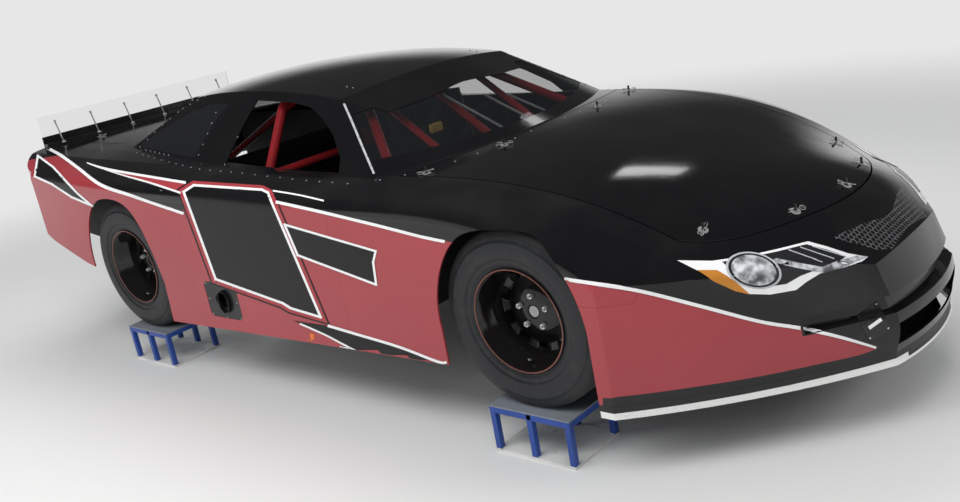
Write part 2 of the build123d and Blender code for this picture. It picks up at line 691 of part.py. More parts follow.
# floor, firewall and bulkhead fill the body from side to side
floor_half = BODY_HALF_WIDTH - SKIN - SEAT_GAP
floor_pan = slab(BULKHEAD_X, FIREWALL_X + PLATE, -floor_half, floor_half, FLOOR_HEIGHT, FLOOR_HEIGHT + PLATE)
keep(trimmed(floor_pan, (lining,)), "floor_pan")
wall_foot = FLOOR_HEIGHT + PLATE
firewall = slab(FIREWALL_X, FIREWALL_X + PLATE, -floor_half, floor_half, wall_foot, 1000)
keep(trimmed(firewall, (lining,)), "firewall")
bulkhead = slab(BULKHEAD_X, BULKHEAD_X + PLATE, -floor_half, floor_half, wall_foot, BULKHEAD_TOP)
keep(trimmed(bulkhead, (lining,)), "rear_bulkhead")

with BuildPart() as seat:
    with BuildSketch(Plane.XZ.offset(-DRIVER_Y)):
        with BuildLine():
            Polyline(*[(at(x), up(h)) for x, h in SEAT_PROFILE], close=True)
        make_face()
    extrude(amount=SEAT_WIDTH / 2, both=True)
    with BuildSketch(Plane.XZ.offset(-DRIVER_Y)):
        with BuildLine():
            Polyline(*[(at(x), up(h)) for x, h in SEAT_HOLLOW], close=True)
        make_face()
    extrude(amount=SEAT_WIDTH / 2 - SEAT_BOLSTER, both=True, mode=Mode.SUBTRACT)
keep(seat.part, "seat")

column = Plane(origin=(at(WHEEL_X), DRIVER_Y, up(WHEEL_HEIGHT)), z_dir=(1, 0, -COLUMN_SLOPE))

with BuildPart() as dash:
    dash_end = FIREWALL_X - SEAT_GAP
    add(slab(DASH_X, dash_end, -DASH_HALF, DASH_HALF, DASH_LOW, DASH_HIGH))
    hollow = slab(DASH_X + PLATE, dash_end, -DASH_HALF + PLATE, DASH_HALF - PLATE, DASH_LOW, DASH_HIGH - PLATE)
    add(hollow, mode=Mode.SUBTRACT)
    with BuildSketch(column):
        Circle(COLUMN_RADIUS + SEAT_GAP)
    extrude(amount=COLUMN_LENGTH + 1, mode=Mode.SUBTRACT)
keep(dash.part, "dash_panel")

with BuildPart() as steering:
    with BuildSketch(Plane(origin=column.origin, x_dir=column.z_dir, z_dir=column.x_dir)):
        with Locations((0, WHEEL_RADIUS)):
            Circle(GRIP_RADIUS)
    revolve(axis=Axis(column.origin, column.z_dir))
    with BuildSketch(column):
        Circle(45)
        for angle in (0, 120, 240):
            with Locations(Rot(0, 0, angle)):
                with Locations((WHEEL_RADIUS / 2, 0)):
                    Rectangle(WHEEL_RADIUS, 26)
    extrude(amount=PLATE)
    with BuildSketch(column):
        Circle(COLUMN_RADIUS)
    extrude(amount=COLUMN_LENGTH)
keep(steering.part, "steering_wheel")

keep(slab(ENGINE_X - ENGINE_LENGTH / 2, ENGINE_X + ENGINE_LENGTH / 2, -ENGINE_WIDTH / 2, ENGINE_WIDTH / 2, ENGINE_LOW, ENGINE_HIGH), "engine_block")
cell_half = RAIL_Y - RAIL_WIDTH / 2 - SEAT_GAP
keep(slab(CELL_REAR, CELL_FRONT, -cell_half, cell_half, CELL_LOW, CELL_HIGH), "fuel_cell")

# spoiler: base angle with struts, and the clear blade
with BuildPart() as base:
    add(slab(SPOILER_X, SPOILER_X + 50, -SPOILER_LENGTH / 2, SPOILER_LENGTH / 2, 850, SPOILER_FOOT + PLATE))
    add(slab(SPOILER_X, SPOILER_X + 8, -SPOILER_LENGTH / 2, SPOILER_LENGTH / 2, SPOILER_FOOT, SPOILER_FOOT + SPOILER_FLANGE))
    add(body_over, mode=Mode.SUBTRACT)
keep(base.part, "spoiler_base")
blade_x = SPOILER_X + 8 + SEAT_GAP
keep(slab(blade_x, blade_x + GLASS, -SPOILER_LENGTH / 2, SPOILER_LENGTH / 2, SPOILER_FOOT + PLATE + SEAT_GAP, SPOILER_FOOT + SPOILER_HEIGHT), "spoiler_blade")

# exhaust outlet: a plate let into the right door with an oval pipe behind it
with BuildPart() as outlet:
    with BuildSketch(Plane.XZ.offset(BODY_HALF_WIDTH)):
        with Locations((at(OUTLET_X), up(OUTLET_HEIGHT))):
            RectangleRounded(OUTLET_LENGTH, OUTLET_DEPTH, OUTLET_CORNER)
            Ellipse(PIPE_HALF_LENGTH - PIPE_WALL, PIPE_HALF_HEIGHT - PIPE_WALL, mode=Mode.SUBTRACT)
    extrude(amount=-SKIN)
    with BuildSketch(Plane.XZ.offset(BODY_HALF_WIDTH)):
        with Locations((at(OUTLET_X), up(OUTLET_HEIGHT))):
            Ellipse(PIPE_HALF_LENGTH, PIPE_HALF_HEIGHT)
            Ellipse(PIPE_HALF_LENGTH - PIPE_WALL, PIPE_HALF_HEIGHT - PIPE_WALL, mode=Mode.SUBTRACT)
    extrude(amount=-PIPE_LENGTH)
keep(outlet.part, "exhaust_outlet")

# wheels, turned about their axle and set at each corner
tyre_inner = BEAD_RADIUS + SEAT_GAP
with BuildPart() as tyre:
    with BuildSketch(Plane.XY):
        with BuildLine():
            half = TYRE_WIDTH / 2
            seat_half = RIM_WIDTH / 2 - RIM_WALL - SEAT_GAP
            Polyline((seat_half - TYRE_WALL, tyre_inner), (seat_half, tyre_inner), (seat_half, LIP_RADIUS + 3))
            ThreePointArc((seat_half, LIP_RADIUS + 3), (half, 268), (half - 14, 328))
            ThreePointArc((half - 14, 328), (half - 22, 342), (half - 38, TYRE_RADIUS - 2))
            ThreePointArc((half - 38, TYRE_RADIUS - 2), (0, TYRE_RADIUS), (38 - half, TYRE_RADIUS - 2))
            ThreePointArc((38 - half, TYRE_RADIUS - 2), (22 - half, 342), (14 - half, 328))
            ThreePointArc((14 - half, 328), (-half, 268), (-seat_half, LIP_RADIUS + 3))
            Polyline((-seat_half, LIP_RADIUS + 3), (-seat_half, tyre_inner), (TYRE_WALL - seat_half, tyre_inner))
            inner_top = TYRE_RADIUS - TYRE_WALL - 4
            Polyline((TYRE_WALL - seat_half, tyre_inner), (TYRE_WALL - half + 2, 262), (TYRE_WALL - half + 12, 322), (60 - half, inner_top), (half - 60, inner_top), (half - TYRE_WALL - 12, 322), (half - TYRE_WALL - 2, 262), (seat_half - TYRE_WALL, tyre_inner))
        make_face()
    revolve(axis=Axis.X)

disc_out = RIM_WIDTH / 2 - DISC_INSET
hub_in = disc_out - HUB_LENGTH
with BuildPart() as rim:
    with BuildSketch(Plane.XY):
        with BuildLine():
            edge, seat_in = RIM_WIDTH / 2, RIM_WIDTH / 2 - RIM_WALL
            Polyline(
                (edge, BEAD_RADIUS - RIM_WALL), (edge, LIP_RADIUS), (seat_in, LIP_RADIUS), (seat_in, BEAD_RADIUS),
                (-seat_in, BEAD_RADIUS), (-seat_in, LIP_RADIUS), (-edge, LIP_RADIUS), (-edge, BEAD_RADIUS - RIM_WALL), close=True,
            )
        make_face()
        with BuildLine():
            Polyline(
                (disc_out, SPINDLE_RADIUS + PIVOT_GAP), (disc_out, 70), (disc_out - 26, 128), (disc_out - 26, BEAD_RADIUS - 2),
                (disc_out - 26 - DISC_WALL, BEAD_RADIUS - 2), (disc_out - 26 - DISC_WALL, 126), (disc_out - DISC_WALL, HUB_RADIUS),
                (hub_in, HUB_RADIUS), (hub_in, SPINDLE_RADIUS + PIVOT_GAP), close=True,
            )
        make_face()
    revolve(axis=Axis.X)
    with BuildSketch(Plane.YZ.offset(disc_out - 60)):
        with PolarLocations(152, HAND_HOLES):
            Circle(15)
    extrude(amount=80, mode=Mode.SUBTRACT)
    with BuildSketch(Plane.YZ.offset(disc_out)):
        with PolarLocations(LUG_CIRCLE / 2, 5):
            Circle(LUG_RADIUS)
    extrude(amount=18)


def at_wheel(part, axle, sign):
    """A wheel piece, made about +X, set at one corner with its outer side away from the car."""
    turn = Rot(0, 0, 90 * sign)
    return Pos(AXLES[axle], sign * TYRE_Y, AXLE_Z) * turn * part


for axle in AXLES:
    for side, sign in SIDES.items():
        keep(at_wheel(tyre.part, axle, sign), f"tyre_{axle}_{side}")
        keep(at_wheel(rim.part, axle, sign), f"rim_{axle}_{side}")

# rear axle: tube, centre housing, spindles and trailing links
spindle_end = TYRE_Y + disc_out + 6
hub_face = TYRE_Y + hub_in
with BuildPart() as rear_axle:
    with BuildSketch(Plane.XZ):
        with Locations((REAR_AXLE_X, AXLE_Z)):
            Circle(AXLE_TUBE_RADIUS)
    extrude(amount=hub_face - SEAT_GAP, both=True)
    with BuildSketch(Plane.XZ):
        with Locations((REAR_AXLE_X, AXLE_Z)):
            Circle(SPINDLE_RADIUS)
    extrude(amount=spindle_end, both=True)
    with Locations((REAR_AXLE_X, 0, AXLE_Z)):
        Sphere(HOUSING_RADIUS)
    for sign in (1, -1):
        link = ((REAR_AXLE_X, sign * LINK_Y, AXLE_Z - AXLE_TUBE_RADIUS), (at(RISER_X) - 14, sign * LINK_Y, up(LINK_HEIGHT)))
        add(bar(*link, ARM_RADIUS))
        with BuildSketch(Plane.XY.offset(AXLE_Z)):
            with Locations((REAR_AXLE_X, sign * RAIL_Y)):
                Circle(32)
        extrude(amount=up(KICK_HEIGHT) - SEAT_GAP - AXLE_Z)
keep(rear_axle.part, "rear_axle")

# front suspension: upper and lower arms from each rail to the eyes of a steered knuckle
eye_y = KINGPIN_Y
post_y = RAIL_Y + RAIL_WIDTH / 2 + SEAT_GAP + ARM_POST / 2
post_top = AXLE_Z + BALL_HEIGHT + ARM_POST / 2
with BuildPart() as arms:
    for reach in (-ARM_SPREAD, ARM_SPREAD):
        with BuildSketch(Plane.XY.offset(up(RAIL_LOW))):
            with Locations((FRONT_AXLE_X + reach, post_y)):
                Rectangle(ARM_POST, ARM_POST)
        extrude(amount=post_top - up(RAIL_LOW))
    for level in (-BALL_HEIGHT, BALL_HEIGHT):
        for reach in (-ARM_SPREAD, ARM_SPREAD):
            add(bar((FRONT_AXLE_X + reach, post_y, AXLE_Z + level), (FRONT_AXLE_X, eye_y, AXLE_Z + level), ARM_RADIUS))
        with BuildSketch(Plane.XY.offset(AXLE_Z + level - EYE_HALF)):
            with Locations((FRONT_AXLE_X, eye_y)):
                Circle(EYE_RADIUS)
        extrude(amount=2 * EYE_HALF)
        with BuildSketch(Plane.XY.offset(AXLE_Z + level - EYE_HALF)):
            with Locations((FRONT_AXLE_X, eye_y)):
                Circle(KINGPIN_RADIUS + PIVOT_GAP)
        extrude(amount=2 * EYE_HALF, mode=Mode.SUBTRACT)
keep(arms.part, "front_arms_left")
keep(mirror(arms.part, about=Plane.XZ), "front_arms_right")

with BuildPart() as knuckle:
    with BuildSketch(Plane.XY.offset(AXLE_Z - BALL_HEIGHT + EYE_HALF + SEAT_GAP)):
        with Locations((FRONT_AXLE_X, eye_y)):
            Rectangle(56, 44)
    extrude(amount=2 * (BALL_HEIGHT - EYE_HALF - SEAT_GAP))
    with BuildSketch(Plane.XY.offset(AXLE_Z - BALL_HEIGHT - EYE_HALF)):
        with Locations((FRONT_AXLE_X, eye_y)):
            Circle(KINGPIN_RADIUS)
    extrude(amount=2 * (BALL_HEIGHT + EYE_HALF))
    out_plane = Plane(origin=(FRONT_AXLE_X, eye_y, AXLE_Z), z_dir=(0, 1, 0))
    with BuildSketch(out_plane):
        Circle(38)
    extrude(amount=hub_face - SEAT_GAP - KINGPIN_Y)
    with BuildSketch(out_plane):
        Circle(SPINDLE_RADIUS)
    extrude(amount=spindle_end - KINGPIN_Y)
    arm_end = (FRONT_AXLE_X - 130, eye_y - 10, AXLE_Z - 60)
    add(bar((FRONT_AXLE_X, eye_y, AXLE_Z - 60), arm_end, ARM_RADIUS))
keep(knuckle.part, "knuckle_left")
keep(mirror(knuckle.part, about=Plane.XZ), "knuckle_right")

# wheel stands: welded square-tube frames with a top plate and a base plate
for axle, x in AXLES.items():
    for side, sign in SIDES.items():
        mid_y = sign * (STAND_OUTER_Y - STAND_WIDTH / 2)
        leg_x, leg_y = (STAND_LENGTH - STAND_TUBE) / 2, (STAND_WIDTH - STAND_TUBE) / 2
        with BuildPart() as stand:
            with Locations((x, mid_y, STAND_PLATE / 2), (x, mid_y, STAND_HEIGHT - STAND_PLATE / 2)):
                Box(STAND_LENGTH, STAND_WIDTH, STAND_PLATE)
            with Locations((x, mid_y, STAND_HEIGHT / 2)):
                with GridLocations(leg_x, 2 * leg_y, 3, 2):
                    Box(STAND_TUBE, STAND_TUBE, STAND_HEIGHT - 2 * STAND_PLATE)
            with Locations((x, mid_y, STAND_HEIGHT - STAND_PLATE - STAND_TUBE / 2)):
                with GridLocations(0, 2 * leg_y, 1, 2):
                    Box(STAND_LENGTH, STAND_TUBE, STAND_TUBE)
                with GridLocations(2 * leg_x, 0, 2, 1):
                    Box(STAND_TUBE, STAND_WIDTH, STAND_TUBE)
        keep(stand.part, f"stand_{axle}_{side}")
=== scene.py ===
"""Looks of a short-track stock car on four wheel stands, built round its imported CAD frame."""

from __future__ import annotations

import json
import logging
import math
from collections.abc import Callable, Iterable, Sequence
from dataclasses import dataclass
from enum import Enum

import bmesh
import bpy
from mathutils import Matrix, Vector
from mathutils.bvhtree import BVHTree

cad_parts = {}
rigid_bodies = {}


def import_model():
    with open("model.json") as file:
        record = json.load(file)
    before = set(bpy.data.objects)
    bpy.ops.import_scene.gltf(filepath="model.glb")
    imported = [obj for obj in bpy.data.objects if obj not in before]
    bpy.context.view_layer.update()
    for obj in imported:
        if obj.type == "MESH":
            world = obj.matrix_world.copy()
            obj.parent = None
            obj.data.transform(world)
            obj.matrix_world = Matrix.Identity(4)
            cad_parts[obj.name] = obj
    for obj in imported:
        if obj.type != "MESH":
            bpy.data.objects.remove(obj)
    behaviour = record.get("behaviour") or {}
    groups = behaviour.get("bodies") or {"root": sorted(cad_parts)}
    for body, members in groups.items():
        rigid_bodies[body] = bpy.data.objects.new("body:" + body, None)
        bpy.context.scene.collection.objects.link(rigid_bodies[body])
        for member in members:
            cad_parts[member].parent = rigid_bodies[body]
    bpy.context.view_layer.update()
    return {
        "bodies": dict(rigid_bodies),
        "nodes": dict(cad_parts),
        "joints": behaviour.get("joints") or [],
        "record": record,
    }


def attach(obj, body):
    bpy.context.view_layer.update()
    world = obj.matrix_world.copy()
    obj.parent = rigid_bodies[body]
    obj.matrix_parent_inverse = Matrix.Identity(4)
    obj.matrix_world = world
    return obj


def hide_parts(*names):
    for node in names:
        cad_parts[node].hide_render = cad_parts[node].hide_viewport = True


LOG = logging.getLogger("stock_car")
Point = tuple[float, float, float]
Flat = tuple[float, float]
Pixel = Flat
Outline = tuple[Flat, ...]
Colour = tuple[float, float, float]
Spot = tuple[Vector, Vector]
Caster = Callable[[Flat], Spot]
Piece = bpy.types.Object

FRAME_WIDTH = 960
FRAME_HEIGHT = 502
FOCAL_PIXELS = 1000
SENSOR_WIDTH = 36.0
FRONT_AXLE_X = 1.335
REAR_AXLE_X = -1.285
AXLE_Z = 0.5463
WHEEL_Y = 0.830
SIDES = {"right": -1, "left": 1}
AXLES = {"front": FRONT_AXLE_X, "rear": REAR_AXLE_X}
FILM = 0.0006
UPRIGHT = Matrix.Rotation(math.radians(-90), 4, "Y")


class Body(Enum):
    """The bodies of the frame that scene pieces ride on."""

    CAR = "car_body"
    HOOD = "hood"
    DECK_LID = "deck_lid"


class Level(Enum):
    """How a stripe or a coat of paint is finished."""

    GLOSS = 0.16
    SATIN = 0.3
    MATT = 0.6


# shader trees


class Term:
    """One socket of a shader tree, with Python's operators for its maths."""

    def __init__(self, shader: Shader, socket: bpy.types.NodeSocket) -> None:
        """Wraps a socket."""
        self.shader = shader
        self.socket = socket

    def _maths(self, operation: str, *values: Term | float) -> Term:
        """Adds a Math node on these values."""
        return self.shader.node("ShaderNodeMath", {"operation": operation}, dict(enumerate(values)))

    def __add__(self, other: Term | float) -> Term:
        """Sum."""
        return self._maths("ADD", self, other)

    __radd__ = __add__

    def __mul__(self, other: Term | float) -> Term:
        """Product."""
        return self._maths("MULTIPLY", self, other)

    __rmul__ = __mul__

    def __sub__(self, other: Term | float) -> Term:
        """Difference."""
        return self._maths("SUBTRACT", self, other)

    def __rsub__(self, other: float) -> Term:
        """Difference from a number."""
        return self._maths("SUBTRACT", other, self)

    def __truediv__(self, other: Term | float) -> Term:
        """Quotient."""
        return self._maths("DIVIDE", self, other)

    def __pow__(self, other: float) -> Term:
        """Power."""
        return self._maths("POWER", self, other)

    def __abs__(self) -> Term:
        """Size without its sign."""
        return self._maths("ABSOLUTE", self)

    def above(self, edge: Term | float) -> Term:
        """1 where this is greater than an edge."""
        return self._maths("GREATER_THAN", self, edge)

    def below(self, edge: Term | float) -> Term:
        """1 where this is less than an edge."""
        return self._maths("LESS_THAN", self, edge)

    def modulo(self, period: float) -> Term:
        """What is left over a whole number of periods."""
        return self._maths("FLOORED_MODULO", self, period)

    def low(self, other: Term | float) -> Term:
        """The smaller of two."""
        return self._maths("MINIMUM", self, other)

    def high(self, other: Term | float) -> Term:
        """The greater of two."""
        return self._maths("MAXIMUM", self, other)

    def wave(self) -> Term:
        """Sine."""
        return self._maths("SINE", self)

    def between(self, start: float, end: float) -> Term:
        """Rises from 0 at a start to 1 at an end, and is held there."""
        settings = {"interpolation_type": "SMOOTHSTEP"}
        return self.shader.node("ShaderNodeMapRange", settings, {0: self, 1: start, 2: end, 3: 0.0, 4: 1.0})


class Shader:
    """A material under construction, with one Principled surface."""

    def __init__(self, name: str) -> None:
        """Starts an empty material of that name.

        Args:
            name: The material's name.
        """
        self.material = bpy.data.materials.new(name)
        self.material.use_nodes = True
        self.tree = self.material.node_tree
        self.tree.nodes.clear()
        self.output = self.tree.nodes.new("ShaderNodeOutputMaterial")
        self.surface = self.tree.nodes.new("ShaderNodeBsdfPrincipled")
        self.link(self.surface.outputs[0], self.output.inputs["Surface"])

    def link(self, start: bpy.types.NodeSocket, end: bpy.types.NodeSocket) -> None:
        """Joins two sockets."""
        self.tree.links.new(start, end)

    def fill(self, socket: bpy.types.NodeSocket, value: object) -> None:
        """Links or sets one socket.

        Args:
            socket: The input.
            value: A wrapped output, a colour or a number.
        """
        if isinstance(value, Term):
            self.link(value.socket, socket)
        elif isinstance(value, tuple) and len(value) == 3 and socket.type == "RGBA":
            socket.default_value = (*value, 1.0)
        else:
            socket.default_value = value

    def node(
        self, kind: str, settings: dict | None = None, inputs: dict | None = None, output: int | str = 0
    ) -> Term:
        """Adds a node.

        Args:
            kind: The node's type.
            settings: Its properties, set first; "stops" fills a colour ramp.
            inputs: Values or links by socket name or number.
            output: The socket that is wrapped.

        Returns:
            The wrapped output.
        """
        made = self.tree.nodes.new(kind)
        for key, value in (settings or {}).items():
            if key == "stops":
                self._ramp(made.color_ramp, value)
            else:
                setattr(made, key, value)
        for key, value in (inputs or {}).items():
            self.fill(made.inputs[key], value)
        return Term(self, made.outputs[output])

    @staticmethod
    def _ramp(ramp: bpy.types.ColorRamp, stops: Sequence[tuple[float, Colour]]) -> None:
        """Fills a colour ramp.

        Args:
            ramp: The ramp.
            stops: Its places and colours, in order.
        """
        while len(ramp.elements) < len(stops):
            ramp.elements.new(1.0)
        for element, (place, colour) in zip(ramp.elements, stops):
            element.position = place
            element.color = (*colour, 1.0)

    def place(self) -> Term:
        """Object coordinates, in metres."""
        return self.node("ShaderNodeTexCoord", output="Object")

    def parts(self, vector: Term) -> tuple[Term, Term, Term]:
        """The three numbers of a vector."""
        split = self.node("ShaderNodeSeparateXYZ", inputs={0: vector}).socket.node
        return tuple(Term(self, split.outputs[axis]) for axis in range(3))

    def noise(
        self, scale: float, detail: float = 3.0, stretch: Point = (1, 1, 1), where: Term | None = None
    ) -> Term:
        """Noise over the object, stretched along some axes."""
        mapped = self.node("ShaderNodeMapping", inputs={"Vector": where or self.place(), "Scale": stretch})
        return self.node("ShaderNodeTexNoise", inputs={"Vector": mapped, "Scale": scale, "Detail": detail})

    def mix(self, share: Term | float, first: object, second: object) -> Term:
        """Blends two colours."""
        settings = {"data_type": "RGBA", "clamp_factor": True}
        return self.node("ShaderNodeMix", settings, {0: share, 6: first, 7: second}, output=2)

    def facing(self, axis: int) -> Term:
        """How far the surface faces along an axis."""
        return self.parts(self.node("ShaderNodeNewGeometry", output="Normal"))[axis]

    def bump(self, height: Term, distance: float, strength: float = 1.0) -> Term:
        """A surface relief from a height.

        Args:
            height: The height at each place.
            distance: Its full height, in metres.
            strength: How much of it shows.

        Returns:
            The surface's normal.
        """
        return self.node(
            "ShaderNodeBump", inputs={"Height": height, "Distance": distance, "Strength": strength}
        )

    def set(self, **sockets: object) -> Shader:
        """Fills sockets of the Principled surface, with _ for a space.

        Args:
            **sockets: Values or links by socket name.

        Returns:
            This shader.
        """
        for key, value in sockets.items():
            self.fill(self.surface.inputs[key.replace("_", " ")], value)
        return self

    def see_through(self, solid_share: Term | float) -> Shader:
        """Lets light straight through where the share is below 1.

        Args:
            solid_share: How much of the light meets the surface.

        Returns:
            This shader.
        """
        clear = self.tree.nodes.new("ShaderNodeBsdfTransparent")
        blend = self.tree.nodes.new("ShaderNodeMixShader")
        self.fill(blend.inputs[0], solid_share)
        self.link(clear.outputs[0], blend.inputs[1])
        self.link(self.surface.outputs[0], blend.inputs[2])
        self.link(blend.outputs[0], self.output.inputs["Surface"])
        return self


# finishes


def scaled(colour: Colour, share: float) -> Colour:
    """A colour made darker."""
    return tuple(share * part for part in colour)


@dataclass(frozen=True)
class Finish:
    """A finish whose material is built once."""

    name: str

    def material(self) -> bpy.types.Material:
        """The finished material."""
        return bpy.data.materials.get(self.name) or self.build(Shader(self.name)).material

    def build(self, shader: Shader) -> Shader:
        """Fills the material's tree."""
        raise NotImplementedError


@dataclass(frozen=True)
class GlossPaint(Finish):
    """Sprayed gloss paint with orange peel, haze and a little shop dust."""

    colour: Colour
    roughness: float = 0.1
    dust: float = 0.05
    dust_colour: Colour = (0.32, 0.31, 0.29)

    def coat(self, shader: Shader, colour: object) -> Shader:
        """Puts the gloss, dust and relief over a base colour.

        Args:
            shader: The new material's shader.
            colour: The base colour or its wrapped output.

        Returns:
            The same shader, filled.
        """
        cloud = shader.noise(2.6, 6.0)
        speck = shader.noise(260.0, 2.0)
        lying = shader.facing(2).between(0.2, 1.0)
        fine = speck.between(0.4, 0.7) * 0.5 + 0.5
        dust = (lying * 0.8 + 0.2) * cloud.between(0.4, 0.8) * fine * self.dust
        haze = self.roughness + cloud.between(0.35, 0.75) * 0.05 + dust * 1.2
        peel = shader.noise(420.0, 1.0) * 0.5 + shader.noise(38.0, 2.0)
        shader.set(
            Base_Color=shader.mix(dust, colour, self.dust_colour), Roughness=haze,
            Normal=shader.bump(peel, 0.00012)
        )
        return shader.set(Coat_Weight=0.3, Coat_Roughness=0.03, IOR=1.42, Specular_IOR_Level=0.4)

    def build(self, shader: Shader) -> Shader:
        """Fills the material's tree.

        Args:
            shader: The new material's shader.

        Returns:
            The same shader, filled.
        """
        wide = shader.noise(1.1, 2.0).between(0.3, 0.7)
        darker = scaled(self.colour, 0.86)
        return self.coat(shader, shader.mix(wide, self.colour, darker))


@dataclass(frozen=True)
class TwoTonePaint(GlossPaint):
    """Gloss paint that is one colour under a line along the car and another above it; its inward faces and a
    band across the nose recess also take the upper colour as painted shade.
    """

    upper: Colour = (0.006, 0.006, 0.007)
    line: Outline = ()
    floor_line: Outline = ()
    # Band across the nose recess that takes the upper colour as painted shade in the recess.
    groove: Point = (0.566, 0.438, 0.508)

    @staticmethod
    def height(shader: Shader, x: Term, line: Sequence[Flat]) -> Term:
        """The line's height at each place along the car.

        Args:
            shader: The shader that holds the place.
            x: The place along the car.
            line: The line's corners, by place along the car.

        Returns:
            The height.
        """
        total: Term | float = line[0][1]
        for (x0, z0), (x1, z1) in zip(line, line[1:]):
            run = x.high(x0).low(x1) - x0
            total = run * ((z1 - z0) / (x1 - x0)) + total
        return total

    def build(self, shader: Shader) -> Shader:
        """Fills the material's tree.

        Args:
            shader: The new material's shader.

        Returns:
            The same shader, filled.
        """
        x, y, z = shader.parts(shader.place())
        over = z.above(self.height(shader, x, self.line))
        if self.floor_line:
            over = over.high(1 - z.above(self.height(shader, x, self.floor_line)))
        # Inward-facing sides of the panels take the upper colour: painted shade inside the body.
        inner = 1 - (y * shader.facing(1)).above(-0.03)
        # The band in the nose recess takes the upper colour: painted shade in the recess.
        half, low, high = self.groove
        groove = abs(y).below(half) * x.above(0.0) * z.above(low) * z.below(high)
        over = over.high(inner).high(groove)
        wide = shader.noise(1.1, 2.0).between(0.3, 0.7)
        darker = scaled(self.colour, 0.9)
        lower = shader.mix(wide, self.colour, darker)
        return self.coat(shader, shader.mix(over, lower, self.upper))


@dataclass(frozen=True)
class StripeFilm(Finish):
    """Cut film laid on the paint, satin with fine scratches."""

    colour: Colour
    level: Level = Level.SATIN

    def build(self, shader: Shader) -> Shader:
        """Fills the material's tree.

        Args:
            shader: The new material's shader.

        Returns:
            The same shader, filled.
        """
        grime = shader.noise(7.0, 5.0).between(0.45, 0.8)
        scratch = shader.noise(60.0, 3.0, (1, 1, 14)).between(0.62, 0.75)
        darker = scaled(self.colour, 0.8)
        rough = self.level.value + grime * 0.1 + scratch * 0.12
        shader.set(Base_Color=shader.mix(grime * 0.5, self.colour, darker), Roughness=rough)
        return shader.set(
            Normal=shader.bump(shader.noise(300.0), 0.00008), Specular_IOR_Level=0.22, Coat_Weight=0.06
        )


@dataclass(frozen=True)
class BareMetal(Finish):
    """Bare metal with a brushed grain and stains."""

    colour: Colour
    roughness: float = 0.32
    grain: Point = (1, 22, 22)
    stain: float = 0.4
    metallic: float = 0.7

    def build(self, shader: Shader) -> Shader:
        """Fills the material's tree.

        Args:
            shader: The new material's shader.

        Returns:
            The same shader, filled.
        """
        grain = shader.noise(60.0, 4.0, self.grain)
        stain = shader.noise(9.0, 5.0).between(0.45, 0.75)
        darker = scaled(self.colour, 0.55)
        shader.set(Base_Color=shader.mix(stain * self.stain, self.colour, darker), Metallic=self.metallic)
        return shader.set(
            Roughness=self.roughness + grain * 0.16 + stain * 0.1, Normal=shader.bump(grain, 0.0001)
        )


@dataclass(frozen=True)
class PowderCoat(Finish):
    """Baked coat with a soft orange peel, chipped to a darker colour in places."""

    colour: Colour
    roughness: float = 0.28
    chips: float = 0.5
    metallic: float = 0.0

    def build(self, shader: Shader) -> Shader:
        """Fills the material's tree.

        Args:
            shader: The new material's shader.

        Returns:
            The same shader, filled.
        """
        peel = shader.noise(170.0, 2.0)
        chip = shader.noise(34.0, 6.0).between(0.69, 0.72) * self.chips
        grime = shader.noise(5.0, 5.0).between(0.4, 0.8)
        darker = scaled(self.colour, 0.72)
        toned = shader.mix(grime, self.colour, darker)
        shader.set(
            Base_Color=shader.mix(chip, toned, (0.05, 0.045, 0.04)),
            Roughness=self.roughness + grime * 0.12 + chip * 0.3
        )
        shader.set(Normal=shader.bump(peel, 0.00025), Metallic=self.metallic, Coat_Weight=0.2)
        return shader.set(Coat_Roughness=0.1, Specular_IOR_Level=0.3)


@dataclass(frozen=True)
class Rubber(Finish):
    """Slick racing rubber: a scuffed tread and a smoother sidewall, told apart on the piece's own UV map."""

    tread_from: float = 0.3
    tread_to: float = 0.7

    def build(self, shader: Shader) -> Shader:
        """Fills the material's tree.

        Args:
            shader: The new material's shader.

        Returns:
            The same shader, filled.
        """
        u, v, _ = shader.parts(shader.node("ShaderNodeTexCoord", output="UV"))
        start, end = (v.between(edge - 0.02, edge + 0.02) for edge in (self.tread_from, self.tread_to))
        tread = start * (1 - end)
        grain = shader.noise(90.0, 5.0)
        pick = shader.noise(24.0, 4.0).between(0.5, 0.75)
        wear = shader.noise(300.0, 2.0)
        base = shader.mix(tread * 0.7, (0.013, 0.014, 0.016), (0.03, 0.029, 0.029))
        dusty = shader.mix(pick * 0.35, base, (0.06, 0.057, 0.053))
        ribs = ((v * 640.0).wave() * 0.5 + 0.5) * (1 - tread) * 0.25
        relief = grain * (0.4 + tread * 0.8) + wear * 0.4 + ribs
        shader.set(
            Base_Color=dusty, Roughness=0.5 + tread * 0.25 + pick * 0.12, Normal=shader.bump(relief, 0.0007)
        )
        return shader.set(Specular_IOR_Level=0.42)


@dataclass(frozen=True)
class ClearSheet(Finish):
    """Clear polycarbonate sheet that mirrors at a glancing angle and is faintly scuffed."""

    tint: Colour = (0.02, 0.022, 0.024)
    body: float = 0.02

    def build(self, shader: Shader) -> Shader:
        """Fills the material's tree.

        Args:
            shader: The new material's shader.

        Returns:
            The same shader, filled.
        """
        scuff = shader.noise(16.0, 6.0).between(0.5, 0.8)
        shader.set(Base_Color=self.tint, Roughness=0.02 + scuff * 0.06, IOR=1.5)
        glance = shader.node("ShaderNodeFresnel", inputs={"IOR": 1.45})
        return shader.see_through(glance * 0.5 + self.body + scuff * 0.01)


